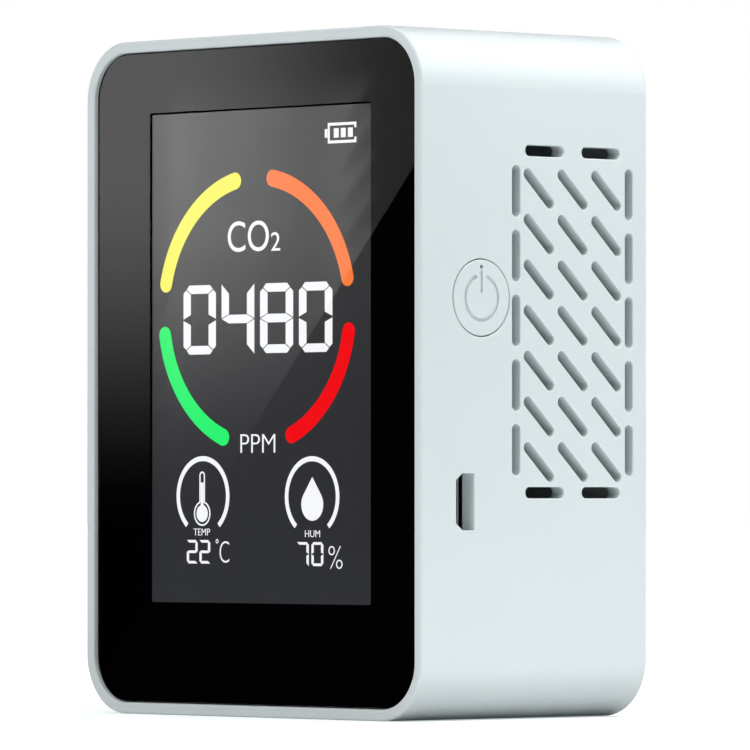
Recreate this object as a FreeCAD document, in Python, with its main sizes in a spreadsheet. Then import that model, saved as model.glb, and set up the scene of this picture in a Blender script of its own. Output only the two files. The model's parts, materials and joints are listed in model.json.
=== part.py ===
"""Air quality monitor: a one-piece sleeve with a glossy front, a side vent, a side button and an inset back.

Frame: origin at the middle of the footprint, +Z up, the display faces -Y, the button side is +X. Millimetres.
"""
import FreeCAD, Part
import math
import os
import re
import Sketcher
from FreeCAD import Placement, Rotation, Vector

DIMENSIONS = {
    # case
    "case_width": 68, "case_depth": 41.4, "case_height": 92, "case_corner": 8, "case_ease": 0.35,
    "wall": 2.4, "rim": 1.55, "rim_ease": 0.3, "lens_recess": 0.6, "lens_thick": 1.1,
    "mask_thick": 0.05, "adhesive_thick": 0.15, "front_wall": 1.6, "lens_gap": 0.1, "lens_ease": 0.12,
    "ink_inset": 0.06, "adhesive_inset": 0.65, "film_gap": 0.1,
    "opening_half": 24, "opening_low": 10.2, "opening_high": 84,
    "window_half": 22.2, "window_low": 15.3, "window_high": 82, "window_corner": 0.3,
    "adhesive_half": 24.6, "adhesive_low": 9.7, "adhesive_high": 84.6,
    # side wall: button hole, pinhole, vent, port
    "button_at": -9.9, "button_up": 56, "button_hole": 5.2, "button_gap": 0.15,
    "button_ease": 0.15, "flange_radius": 5.9, "flange_thick": 0.8, "flange_gap": 0.2,
    "post_radius": 1.6, "press_gap": 0.3, "symbol_radius": 2.95, "symbol_stroke": 0.5,
    "symbol_depth": 0.25, "symbol_gap_angle": 17, "bar_low": 56.7, "bar_high": 59.6,
    "pinhole_up": 60.1, "pinhole_radius": 0.3,
    "slot_wide": 1.5, "slot_ease": 0.2, "column_long": 6.85, "column_at": -3.5, "column_step": 20.9,
    "column_low": 35.9, "column_pitch": 8.6, "row_long": 7.15, "row_at": 1.75, "row_step": 10.4,
    "row_low": 30.2, "row_high": 75.75, "slant_long": 7.05, "slant_angle": 137, "slant_at": 0.68,
    "slant_step": 6.25, "slant_low": 34.3, "slant_pitch": 6.07,
    "port_at": -12.85, "port_up": 29, "port_deep": 3.35, "port_long": 7.53, "port_cut_y": 1.17,
    "port_cut_z": 0.9,
    # back cover and its fixings
    "cover_thick": 2, "cover_gap": 0.15, "cover_ease": 0.3, "post_at": 27.4, "post_up": 6.6,
    "post_wide": 3.2, "rib_thick": 1.2, "boss_wide": 2.8, "boss_long": 1.8, "pilot_radius": 1.1,
    "pilot_deep": 10, "cross_long": 1.15, "cross_wide": 0.25, "cross_deep": 0.7,
    "head_radius": 2.1, "head_high": 1.3, "sink_radius": 2.4, "sink_deep": 1.6, "shank_radius": 1.05,
    "shank_long": 10, "clear_radius": 1.4,
    # display stack
    "glass_half": 23.6, "glass_top": 83.6, "glass_low": 14.2, "ledge_low": 11.6, "glass_thick": 0.7,
    "polariser_thick": 0.2, "polariser_inset": 0.4, "diffuser_thick": 0.15, "guide_thick": 1.2,
    "guide_low": 13.6, "guide_inset": 0.2, "reflector_thick": 0.15, "frame_half": 25.2, "frame_low": 8.8,
    "frame_top": 85, "frame_wall": 1.4, "pin_count": 20, "pin_pitch": 1.8, "pin_wide": 0.4,
    "led_pitch": 14, "led_half": 1.5,
    "led_high": 1.1, "pin_jaw": 0.3, "pin_tail": 0.6,
    # main board
    "board_half": 30.6, "board_low": 10.1, "board_top": 81.9, "board_thick": 1.2, "board_front": -15.5,
    "board_boss": 2.2, "board_boss_at": 28.3, "board_boss_low": 21, "board_boss_high": 73,
    "board_pilot": 0.8, "board_pilot_deep": 2.4, "board_head": 1.7, "board_head_high": 0.9,
    "board_shank": 3, "screw_gap": 0.05, "notch_half": 7, "notch_at": 29.4,
    "leg_thick": 0.15, "leg_rise": 0.75, "leg_half": 0.1, "leg_heel": 0.4, "leg_tip": 1,
    "chip_step": 2.6, "chip_rise": 3.4,
    # switch behind the button
    "switch_front": 26.5, "switch_deep": 3.5, "switch_half": 3, "plunger_radius": 1.75,
    "plunger_out": 1.7, "plunger_in": 0.9, "plunger_gap": 0.1, "bracket_thick": 0.3,
    # connector
    "shell_front": 31.3, "shell_deep": 5.5, "shell_high": 2.7, "shell_long": 7.3, "shell_thick": 0.25,
    "tongue_half": 2.4, "tongue_thick": 0.6, "contact_pitch": 0.65,
    "contact_wide": 0.3, "contact_thick": 0.1, "tongue_back": 0.6, "tongue_root": 0.8,
    "seam_long": 1.1, "seam_high": 0.5, "seam_deep": 1.2,
    # sensor module
    "module_left": -12, "module_right": 8, "module_low": 27, "module_high": 60, "module_lift": 3,
    "module_thick": 1, "chamber_high": 7, "chamber_inset": 1, "chamber_end": 2.5, "chamber_corner": 1.5,
    "chamber_ease": 0.4, "filter_thick": 0.4, "filter_inset": 5, "filter_end": 9, "filter_corner": 1,
    "header_pitch": 2.54, "header_half": 0.25, "header_inset": 1.2,
    # battery
    "cell_left": -20, "cell_right": 14, "cell_low": 22, "cell_high": 72, "cell_thick": 7,
    "cell_round": 1.6, "cell_corner": 2, "tape_thick": 0.3, "tape_inset": 7,
    "lead_radius": 0.6, "lead_bend": 6, "lead_left": -3,
    "lead_right": -1, "socket_up": 64, "socket_high": 7.6, "socket_deep": 4.8, "socket_half": 3,
    "plug_out": 2, "socket_wall": 0.6, "socket_floor": 2, "plug_gap": 0.1, "lead_rise": 2,
    "protection_half": 9, "protection_thick": 1, "protection_high": 3,
}

# Parts that stand on the back of the main board: middle, half sizes, height and lift off the board.
ON_BOARD = {
    "controller_chip": {"across": -21, "up": 45, "half_across": 3.5, "half_up": 4.5, "high": 1.5, "lift": 0.1},
    "charger_chip": {"across": 16, "up": 18, "half_across": 2, "half_up": 2.5, "high": 1.5, "lift": 0.1},
    "crystal_can": {"across": -21, "up": 35.5, "half_across": 2.5, "half_up": 1.6, "high": 1.2, "lift": 0},
    "power_inductor": {"across": 6, "up": 18, "half_across": 2.5, "half_up": 2.5, "high": 2.5, "lift": 0},
    "humidity_sensor": {"across": 21, "up": 70, "half_across": 1.5, "half_up": 1.5, "high": 1, "lift": 0},
    "charge_led": {"across": 27.6, "up": 62.4, "half_across": 0.8, "half_up": 0.5, "high": 0.8, "lift": 0},
    "chip_resistors": {"across": -24, "up": 55, "half_across": 0.5, "half_up": 0.8, "high": 0.45, "lift": 0},
    "chip_capacitors": {"across": -24, "up": 26, "half_across": 0.63, "half_up": 1, "high": 0.8, "lift": 0},
}
for label, sizes in ON_BOARD.items():
    DIMENSIONS.update({f"{label}_{size_name}": size for size_name, size in sizes.items()})

LED_COUNT, CONTACT_COUNT, SENSOR_PIN_COUNT = 3, 5, 5
SIDES = ("-", "")
QUARTER_TURN = math.pi / 2

doc = FreeCAD.newDocument("air_quality_monitor")
dims = doc.addObject("Spreadsheet::Sheet", "Dims")
for row, (alias, size) in enumerate(DIMENSIONS.items(), start=1):
    dims.set(f"A{row}", str(size))
    dims.setAlias(f"A{row}", alias)
doc.recompute()

SUBPARTS = []

# Places along the depth, worked out from the sizes above.
CASE_FRONT = "-case_depth / 2"
CASE_BACK = "case_depth / 2"
LENS_FRONT = "-case_depth / 2 + lens_recess"
LENS_BACK = f"{LENS_FRONT} + lens_thick"
MASK_BACK = f"{LENS_BACK} + mask_thick"
WALL_FRONT = f"{MASK_BACK} + adhesive_thick"
WALL_BACK = f"{WALL_FRONT} + front_wall"
POLARISER_FRONT = f"{MASK_BACK} + film_gap"
GLASS_FRONT = f"{POLARISER_FRONT} + polariser_thick"
GLASS_MIDDLE = f"{GLASS_FRONT} + glass_thick"
GLASS_BACK = f"{GLASS_MIDDLE} + glass_thick"
STACK_BACK = f"{GLASS_BACK} + polariser_thick"
DIFFUSER_BACK = f"{STACK_BACK} + diffuser_thick"
GUIDE_BACK = f"{DIFFUSER_BACK} + guide_thick"
BOARD_BACK = "board_front + board_thick"
COVER_FRONT = "case_depth / 2 - cover_thick"
BOSS_FRONT = f"{COVER_FRONT} - boss_long"
MODULE_FRONT = f"{BOARD_BACK} + module_lift"
MODULE_BACK = f"{MODULE_FRONT} + module_thick"
CHAMBER_BACK = f"{MODULE_BACK} + chamber_high"
CELL_BACK = f"{COVER_FRONT} - tape_thick"
CELL_FRONT = f"{CELL_BACK} - cell_thick"
FLANGE_FACE = "case_width / 2 - wall - flange_gap"


def formula(text):
    """The same text with the sheet's name before each of its aliases."""
    return re.sub(r"[a-z]\w*", lambda word: "Dims." + word[0] if word[0] in DIMENSIONS else word[0], text)


def number(text):
    return float(dims.evalExpression(formula(text)))


def bind(thing, path, text):
    thing.setExpression(path, formula(str(text)))


def finish_subpart(piece, label):
    piece.Label = label
    SUBPARTS.append(piece)
    return piece


# ---- PartDesign helpers ----

def new_body(label):
    return finish_subpart(doc.addObject("PartDesign::Body", label), label)


def sketch_on(body, name, role, offset):
    """A sketch on one of the body's origin planes, moved along that plane's normal."""
    sketch = body.newObject("Sketcher::SketchObject", name)
    plane = next(item for item in body.Origin.OriginFeatures if item.Role == role)
    sketch.AttachmentSupport = [(plane, "")]
    sketch.MapMode = "FlatFace"
    bind(sketch, ".AttachmentOffset.Base.z", offset)
    return sketch


def front_sketch(body, name, along_y):
    """A sketch seen from the front: its axes are X and Z, at the given Y."""
    return sketch_on(body, name, "XZ_Plane", f"-({along_y})")


def side_sketch(body, name, along_x):
    """A sketch seen from the button side: its axes are Y and Z, at the given X."""
    return sketch_on(body, name, "YZ_Plane", along_x)


def driven(sketch, kind, *links, size):
    """A dimension constraint whose value is bound to the sheet."""
    index = sketch.addConstraint(Sketcher.Constraint(kind, *links, number(size)))
    name = f"{kind.lower()}{index}"
    sketch.renameConstraint(index, name)
    bind(sketch, f"Constraints.{name}", size)


def pin_point(sketch, shape, point, u, v):
    driven(sketch, "DistanceX", -1, 1, shape, point, size=u)
    driven(sketch, "DistanceY", -1, 1, shape, point, size=v)


def circle(sketch, u, v, radius):
    centre = Vector(number(u), number(v), 0)
    ring = sketch.addGeometry(Part.Circle(centre, Vector(0, 0, 1), number(radius)))
    driven(sketch, "Radius", ring, size=radius)
    pin_point(sketch, ring, 3, u, v)


def polygon(sketch, corners):
    points = [Vector(number(u), number(v), 0) for u, v in corners]
    sides = [sketch.addGeometry(Part.LineSegment(start, end))
             for start, end in zip(points, points[1:] + points[:1])]
    for side, (u, v) in zip(sides, corners):
        pin_point(sketch, side, 1, u, v)
    for side, following in zip(sides, sides[1:] + sides[:1]):
        sketch.addConstraint(Sketcher.Constraint("Coincident", side, 2, following, 1))


def rounded_box(sketch, left, right, low, high, radius):
    """Four lines and four tangent arcs, with its sides at the given places."""
    u0, u1, v0, v1, r = (number(text) for text in (left, right, low, high, radius))
    ends = [((u0 + r, v0), (u1 - r, v0)), ((u1, v0 + r), (u1, v1 - r)),
            ((u1 - r, v1), (u0 + r, v1)), ((u0, v1 - r), (u0, v0 + r))]
    centres = [(u1 - r, v0 + r), (u1 - r, v1 - r), (u0 + r, v1 - r), (u0 + r, v0 + r)]
    lines = [sketch.addGeometry(Part.LineSegment(Vector(*a, 0), Vector(*b, 0))) for a, b in ends]
    arcs = []
    for turn, (u, v) in enumerate(centres):
        ring = Part.Circle(Vector(u, v, 0), Vector(0, 0, 1), r)
        start = (turn - 1) * QUARTER_TURN
        arcs.append(sketch.addGeometry(Part.ArcOfCircle(ring, start, start + QUARTER_TURN)))
    for index in range(4):
        following = lines[(index + 1) % 4]
        sketch.addConstraint(Sketcher.Constraint("Tangent", lines[index], 2, arcs[index], 1))
        sketch.addConstraint(Sketcher.Constraint("Tangent", arcs[index], 2, following, 1))
        sketch.addConstraint(Sketcher.Constraint(("Horizontal", "Vertical")[index % 2], lines[index]))
    for arc in arcs[1:]:
        sketch.addConstraint(Sketcher.Constraint("Equal", arcs[0], arc))
    driven(sketch, "Radius", arcs[0], size=radius)
    driven(sketch, "DistanceY", -1, 1, lines[0], 1, size=low)
    driven(sketch, "DistanceX", -1, 1, lines[1], 1, size=right)
    driven(sketch, "DistanceY", -1, 1, lines[2], 1, size=high)
    driven(sketch, "DistanceX", -1, 1, lines[3], 1, size=left)


def slot(sketch, u, v, length, angle):
    """A round-ended slot about a centre, turned by an angle from the sketch's first axis."""
    half = f"({length} - slot_wide) / 2"
    ends = [(f"{u} - {half} * cos({angle})", f"{v} - {half} * sin({angle})"),
            (f"{u} + {half} * cos({angle})", f"{v} + {half} * sin({angle})")]
    radius = number("slot_wide / 2")
    tilt = Vector(number(f"cos({angle})"), number(f"sin({angle})"), 0)
    across = Vector(-tilt.y, tilt.x, 0) * radius
    low, high = (Vector(number(a), number(b), 0) for a, b in ends)
    lines = [Part.LineSegment(low - across, high - across), Part.LineSegment(high + across, low + across)]
    caps = [Part.Arc(high - across, high + tilt * radius, high + across),
            Part.Arc(low + across, low - tilt * radius, low - across)]
    near, far = (sketch.addGeometry(line) for line in lines)
    head, tail = (sketch.addGeometry(cap) for cap in caps)
    for first, second in ((near, head), (head, far), (far, tail), (tail, near)):
        sketch.addConstraint(Sketcher.Constraint("Tangent", first, 2, second, 1))
    driven(sketch, "Radius", head, size="slot_wide / 2")
    pin_point(sketch, tail, 3, *ends[0])
    pin_point(sketch, head, 3, *ends[1])


def extrude(body, kind, sketch, length, backwards=False):
    """A Pad or a Pocket of a sketch; backwards turns it against the feature's own direction."""
    feature = body.newObject(f"PartDesign::{kind}", f"{kind}_{sketch.Name}")
    feature.Profile = sketch
    feature.Reversed = backwards
    bind(feature, "Length", length)
    body.Tip = feature
    doc.recompute()
    return feature


def front_plate(body, name, outline, along_y, thick):
    """A rounded plate facing the front; outline is left, right, low, high, corner radius."""
    sketch = front_sketch(body, name, along_y)
    rounded_box(sketch, *outline)
    return extrude(body, "Pad", sketch, thick, backwards=True)


def front_cut(body, name, outline, along_y, deep):
    """A rounded pocket cut towards the back, from the given Y."""
    sketch = front_sketch(body, name, along_y)
    rounded_box(sketch, *outline)
    return extrude(body, "Pocket", sketch, deep)


def dress(body, kind, size, wanted):
    """A Fillet or a Chamfer on those edges of the tip that the test picks."""
    tip = body.Tip
    edges = [f"Edge{index}" for index, edge in enumerate(tip.Shape.Edges, start=1) if wanted(edge)]
    feature = body.newObject(f"PartDesign::{kind}", f"{kind}_{tip.Name}")
    feature.Base = (tip, edges)
    bind(feature, {"Fillet": "Radius", "Chamfer": "Size"}[kind], size)
    body.Tip = feature
    doc.recompute()


def grid(body, feature, sketch, step_u, count_u, step_v, count_v):
    """Repeats a feature in columns and rows along its sketch's two axes."""
    pattern = body.newObject("PartDesign::LinearPattern", f"grid_{feature.Name}")
    pattern.Originals = [feature]
    pattern.Direction = (sketch, ["H_Axis"])
    pattern.Direction2 = (sketch, ["V_Axis"])
    bind(pattern, "Length", f"({step_u}) * {count_u - 1}")
    bind(pattern, "Length2", f"({step_v}) * {count_v - 1}")
    pattern.Occurrences = count_u
    pattern.Occurrences2 = count_v
    body.Tip = pattern
    doc.recompute()


def lies_at(axis, place):
    """A test for edges that lie wholly in the plane where that axis has that value."""
    value = number(place)

    def test(edge):
        box = edge.BoundBox
        low, high = getattr(box, axis + "Min"), getattr(box, axis + "Max")
        return abs(low - value) < 1e-4 and abs(high - value) < 1e-4
    return test


# ---- Part primitive helpers ----

def block(label, x, y, z):
    """A box between pairs of formulas along X, Y and Z."""
    piece = doc.addObject("Part::Box", label)
    for axis, side, (low, high) in zip("xyz", ("Length", "Width", "Height"), (x, y, z)):
        bind(piece, side, f"({high}) - ({low})")
        bind(piece, f".Placement.Base.{axis}", low)
    return piece


TURNS = {"x": Rotation(Vector(0, 1, 0), 90), "y": Rotation(Vector(1, 0, 0), -90), "z": Rotation()}


def rod(label, axis, x, y, z, radius, length):
    """A cylinder that starts at a point and runs along an axis."""
    piece = doc.addObject("Part::Cylinder", label)
    piece.Placement = Placement(Vector(0, 0, 0), TURNS[axis])
    for letter, place in zip("xyz", (x, y, z)):
        bind(piece, f".Placement.Base.{letter}", place)
    bind(piece, "Radius", radius)
    bind(piece, "Height", length)
    return piece


def cut(label, base, tools):
    joined = tools[0] if len(tools) == 1 else fuse(label + "_tools", tools)
    piece = doc.addObject("Part::Cut", label)
    piece.Base = base
    piece.Tool = joined
    return piece


def fuse(label, shapes):
    piece = doc.addObject("Part::MultiFuse", label)
    piece.Shapes = shapes
    return piece


def group(label, members):
    """Identical separate solids kept as one sub-part."""
    piece = doc.addObject("Part::Compound", label)
    piece.Links = members
    return finish_subpart(piece, label)


def spread(count, pitch):
    """Offsets of evenly spaced things about a middle, as formulas."""
    return [f"{index - (count - 1) / 2} * {pitch}" for index in range(count)]


def corners(at, heights):
    """Four places, mirrored left to right, at two heights."""
    return [(side + at, up) for side in SIDES for up in heights]


COVER_SCREWS = corners("post_at", ("post_up", "case_height - post_up"))
BOARD_SCREWS = corners("board_boss_at", ("board_boss_low", "board_boss_high"))


# ---- The case ----

def make_housing():
    body = new_body("housing")
    outer = ("-case_width / 2", "case_width / 2", "0", "case_height", "case_corner")
    front_plate(body, "sleeve", outer, CASE_FRONT, "case_depth")
    front, back = lies_at("Y", CASE_FRONT), lies_at("Y", CASE_BACK)
    dress(body, "Fillet", "case_ease", lambda edge: front(edge) or back(edge))
    half = "case_width / 2"
    pocket = (f"-{half} + rim", f"{half} - rim", "rim", "case_height - rim", "case_corner - rim")
    front_cut(body, "lens_pocket", pocket, CASE_FRONT, f"{WALL_FRONT} - ({CASE_FRONT})")
    inside, low, high = number(f"{half} - rim / 2"), number("rim / 2"), number("case_height - rim / 2")

    def on_pocket(edge):
        box = edge.BoundBox
        return front(edge) and -inside < box.XMin and box.XMax < inside and low < box.ZMin and box.ZMax < high
    dress(body, "Fillet", "rim_ease", on_pocket)
    cavity = (f"-{half} + wall", f"{half} - wall", "wall", "case_height - wall", "case_corner - wall")
    front_cut(body, "cavity", cavity, WALL_BACK, f"case_depth / 2 - ({WALL_BACK})")
    opening = ("-opening_half", "opening_half", "opening_low", "opening_high", "window_corner")
    front_cut(body, "display_opening", opening, WALL_FRONT, "front_wall")
    cut_vent(body)
    cut_port(body)
    cut_button_hole(body)
    post_long = f"{BOSS_FRONT} - ({WALL_BACK})"
    add_posts(body, "cover_posts", COVER_SCREWS, "post_wide", post_long, "pilot_radius", "pilot_deep")
    add_ribs(body, post_long)
    boss_long = f"board_front - ({WALL_BACK})"
    add_posts(body, "board_bosses", BOARD_SCREWS, "board_boss", boss_long, "board_pilot", "board_pilot_deep")


def add_posts(body, name, places, radius, length, bore, deep):
    """Four posts on the back of the front wall, each with a blind pilot hole in its end."""
    posts = front_sketch(body, name, WALL_BACK)
    for u, v in places:
        circle(posts, u, v, radius)
    extrude(body, "Pad", posts, length, backwards=True)
    holes = front_sketch(body, name + "_pilots", f"{WALL_BACK} + {length}")
    for u, v in places:
        circle(holes, u, v, bore)
    extrude(body, "Pocket", holes, deep, backwards=True)


def add_ribs(body, length):
    """A rib from each cover post to the side wall."""
    sketch = front_sketch(body, "post_ribs", WALL_BACK)
    for side in SIDES:
        inner, outer = f"{side}(post_at + post_wide / 2)", f"{side}(case_width / 2 - wall / 2)"
        for up in ("post_up", "case_height - post_up"):
            low, high = f"{up} - rib_thick / 2", f"{up} + rib_thick / 2"
            polygon(sketch, [(inner, low), (outer, low), (outer, high), (inner, high)])
    extrude(body, "Pad", sketch, length, backwards=True)


def cut_vent(body):
    """Three families of slots through the side wall, then eased outer edges."""
    families = (
        ("vent_columns", "column_at", "column_low", "column_long", "90", "column_step", 2, "column_pitch", 5),
        ("vent_rows", "row_at", "row_low", "row_long", "0", "row_step", 2, "row_high - row_low", 2),
        ("vent_slants", "slant_at", "slant_low", "slant_long", "slant_angle", "slant_step", 3,
         "slant_pitch", 7),
    )
    for name, u, v, length, angle, step_u, count_u, step_v, count_v in families:
        sketch = side_sketch(body, name, "case_width / 2")
        slot(sketch, u, v, length, angle)
        pocket = extrude(body, "Pocket", sketch, "wall + 0.1")
        grid(body, pocket, sketch, step_u, count_u, step_v, count_v)
    outer = lies_at("X", "case_width / 2")
    left, right = number("column_at - slot_wide"), number("column_at + column_step + slot_wide")
    reach = number("column_long")

    def on_slot(edge):
        box = edge.BoundBox
        return outer(edge) and box.YMin > left and box.YMax < right and box.ZLength < reach
    dress(body, "Fillet", "slot_ease", on_slot)


def port_outline(body, name, along_x, front, back, low, high):
    """The connector's outline: a box with the two corners next to the board cut off."""
    sketch = side_sketch(body, name, along_x)
    cut_start = f"{front} + port_cut_y"
    polygon(sketch, [(cut_start, low), (back, low), (back, high), (cut_start, high),
                     (front, f"{high} - port_cut_z"), (front, f"{low} + port_cut_z")])
    return sketch


def cut_port(body):
    sketch = port_outline(body, "port", "case_width / 2", "port_at - port_deep / 2", "port_at + port_deep / 2",
                          "port_up - port_long / 2", "port_up + port_long / 2")
    extrude(body, "Pocket", sketch, "wall + 0.1")


def cut_button_hole(body):
    sketch = side_sketch(body, "button_hole", "case_width / 2")
    circle(sketch, "button_at", "button_up", "button_hole")
    extrude(body, "Pocket", sketch, "wall + 0.1")
    outer = lies_at("X", "case_width / 2")
    radius = number("button_hole")
    dress(body, "Fillet", "button_ease", lambda edge: outer(edge) and edge.Curve.TypeId == "Part::GeomCircle"
          and abs(edge.Curve.Radius - radius) < 1e-4)


def make_back_cover():
    body = new_body("back_cover")
    side = "case_width / 2 - wall - cover_gap"
    low, high = "wall + cover_gap", "case_height - wall - cover_gap"
    front_plate(body, "cover_plate", (f"-({side})", side, low, high, "case_corner - wall - cover_gap"),
                COVER_FRONT, "cover_thick")
    dress(body, "Fillet", "cover_ease", lies_at("Y", CASE_BACK))
    steps = (("cover_bosses", COVER_FRONT, "Pad", "boss_wide", "boss_long", False),
             ("head_recesses", CASE_BACK, "Pocket", "sink_radius", "sink_deep", True),
             ("screw_holes", CASE_BACK, "Pocket", "clear_radius", "cover_thick + boss_long", True))
    for name, along_y, kind, radius, length, backwards in steps:
        sketch = front_sketch(body, name, along_y)
        for u, v in COVER_SCREWS:
            circle(sketch, u, v, radius)
        extrude(body, kind, sketch, length, backwards)


def cross_recess(label, x, y, z):
    """Two crossed bars to cut a cross recess into a screw head."""
    bars = []
    for name, half_x, half_z in (("flat", "cross_long", "cross_wide"), ("upright", "cross_wide", "cross_long")):
        bars.append(block(f"{label}_{name}", (f"{x} - {half_x}", f"{x} + {half_x}"), (f"{y} - cross_deep", y),
                          (f"{z} - {half_z}", f"{z} + {half_z}")))
    return fuse(label + "_cross", bars)


def screw(label, x, z, head_face, head_radius, head_high, shank_radius, shank_long):
    """A pan-head screw that points to the front, with its head's flat face at the given Y."""
    under_head = f"{head_face} - {head_high}"
    head = rod(label + "_head", "y", x, under_head, z, head_radius, head_high)
    shank = rod(label + "_shank", "y", x, f"{under_head} - {shank_long}", z, shank_radius, shank_long)
    return cut(label, fuse(label + "_blank", [head, shank]), [cross_recess(label, x, head_face, z)])


def make_cover_screws():
    face = f"{CASE_BACK} - sink_deep + head_high"
    sizes = ("head_radius", "head_high", "shank_radius", "shank_long")
    group("back_cover_screws", [screw(f"cover_screw_{index}", x, z, face, *sizes)
                                for index, (x, z) in enumerate(COVER_SCREWS)])


# ---- The front ----

def lens_outline(inset):
    half, low = f"case_width / 2 - rim - {inset}", f"rim + {inset}"
    return (f"-({half})", half, low, f"case_height - {low.replace('+', '-')}", f"case_corner - rim - {inset}")


def make_front_lens():
    body = new_body("front_lens")
    front_plate(body, "lens_plate", lens_outline("lens_gap"), LENS_FRONT, "lens_thick")
    dress(body, "Chamfer", "lens_ease", lies_at("Y", LENS_FRONT))


def make_lens_mask():
    """The print on the lens's back, with the ink that runs up round its edge."""
    body = new_body("lens_mask")
    ink_front = f"{LENS_FRONT} + lens_ease"
    front_plate(body, "print_and_ink", lens_outline("ink_inset"), ink_front, f"{MASK_BACK} - ({ink_front})")
    front_cut(body, "lens_seat", lens_outline("lens_gap"), ink_front, f"{LENS_BACK} - ({ink_front})")
    window = ("-window_half", "window_half", "window_low", "window_high", "window_corner")
    front_cut(body, "mask_window", window, LENS_BACK, "mask_thick")


def make_lens_adhesive():
    body = new_body("lens_adhesive")
    front_plate(body, "adhesive_sheet", lens_outline("adhesive_inset"), MASK_BACK, "adhesive_thick")
    inner = ("-adhesive_half", "adhesive_half", "adhesive_low", "adhesive_high", "window_corner")
    front_cut(body, "adhesive_opening", inner, MASK_BACK, "adhesive_thick")


def make_display_glass():
    sheets = (("lcd_front_polariser", "polariser_inset", "glass_low", POLARISER_FRONT, GLASS_FRONT),
              ("lcd_front_glass", "0", "glass_low", GLASS_FRONT, GLASS_MIDDLE),
              ("lcd_rear_glass", "0", "ledge_low", GLASS_MIDDLE, GLASS_BACK),
              ("lcd_rear_polariser", "polariser_inset", "glass_low", GLASS_BACK, STACK_BACK))
    for label, inset, low, front, back in sheets:
        finish_subpart(block(label, (f"-glass_half + {inset}", f"glass_half - {inset}"), (front, back),
                             (f"{low} + {inset}", f"glass_top - {inset}")), label)


def make_backlight():
    layers = (("backlight_diffuser", STACK_BACK, DIFFUSER_BACK),
              ("backlight_guide", DIFFUSER_BACK, GUIDE_BACK),
              ("backlight_reflector", GUIDE_BACK, f"{GUIDE_BACK} + reflector_thick"))
    for label, front, back in layers:
        finish_subpart(block(label, ("-glass_half + guide_inset", "glass_half - guide_inset"), (front, back),
                             ("guide_low", "glass_top - guide_inset")), label)
    led_top = "guide_low - film_gap"
    leds = [block(f"backlight_led_{index}", (f"{offset} - led_half", f"{offset} + led_half"),
                  ("board_front - led_high", "board_front"), (f"{led_top} - led_high", led_top))
            for index, offset in enumerate(spread(LED_COUNT, "led_pitch"))]
    group("backlight_leds", leds)


def make_lcd_frame():
    body = new_body("lcd_frame")
    outer = ("-frame_half", "frame_half", "frame_low", "frame_top", "window_corner")
    room = f"board_front - ({WALL_BACK})"
    front_plate(body, "frame_sheet", outer, WALL_BACK, f"{room} - film_gap / 2")
    inner_half = "frame_half - frame_wall"
    inner = (f"-({inner_half})", inner_half, "opening_low", "opening_high", "window_corner")
    front_cut(body, "frame_opening", inner, WALL_BACK, room)
    notches = front_sketch(body, "post_notches", WALL_BACK)
    for u, v in COVER_SCREWS:
        circle(notches, u, v, "post_wide + 2 * film_gap")
    extrude(body, "Pocket", notches, room)


def make_lcd_pins():
    """Clip-on pins: a jaw in front of the glass ledge and a leg through the board."""
    pins = []
    low, high = "ledge_low - film_gap - pin_wide", "ledge_low - film_gap"
    front = f"{GLASS_MIDDLE} - pin_jaw"
    for index, offset in enumerate(spread(DIMENSIONS["pin_count"], "pin_pitch")):
        sides = (f"{offset} - pin_wide / 2", f"{offset} + pin_wide / 2")
        leg = block(f"pin_leg_{index}", sides, (front, f"{BOARD_BACK} + pin_tail"), (low, high))
        jaw = block(f"pin_jaw_{index}", sides, (front, GLASS_MIDDLE), (low, "ledge_low + 4 * pin_jaw"))
        pins.append(fuse(f"pin_{index}", [leg, jaw]))
    group("lcd_pins", pins)


# ---- The main board and what is on it ----

def make_main_board():
    body = new_body("main_board")
    outline = ("-board_half", "board_half", "board_low", "board_top", "1")
    front_plate(body, "board_sheet", outline, "board_front", "board_thick")
    notch = ("notch_at", "board_half + 2", "button_up - notch_half", "button_up + notch_half", "0.5")
    front_cut(body, "button_notch", notch, "board_front", "board_thick")
    holes = front_sketch(body, "board_holes", "board_front")
    for u, v in BOARD_SCREWS:
        circle(holes, u, v, "board_pilot + 0.3")
    extrude(body, "Pocket", holes, "board_thick")
    pins = front_sketch(body, "pin_holes", "board_front")
    circle(pins, "-(pin_count - 1) / 2 * pin_pitch", "ledge_low - film_gap - pin_wide / 2", "pin_wide")
    first = extrude(body, "Pocket", pins, "board_thick")
    grid(body, first, pins, "pin_pitch", DIMENSIONS["pin_count"], "1", 1)


def make_board_screws():
    face = f"{BOARD_BACK} + board_head_high"
    sizes = ("board_head", "board_head_high", "board_pilot - screw_gap", "board_shank")
    group("board_screws", [screw(f"board_screw_{index}", x, z, face, *sizes)
                           for index, (x, z) in enumerate(BOARD_SCREWS)])


def on_board(name, label, across="0", up="0"):
    """A block that stands on the back of the board, moved from its table place by two offsets."""
    x, z = f"{label}_across + {across}", f"{label}_up + {up}"
    return block(name, (f"{x} - {label}_half_across", f"{x} + {label}_half_across"),
                 (f"{BOARD_BACK} + {label}_lift", f"{BOARD_BACK} + {label}_high"),
                 (f"{z} - {label}_half_up", f"{z} + {label}_half_up"))


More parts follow.
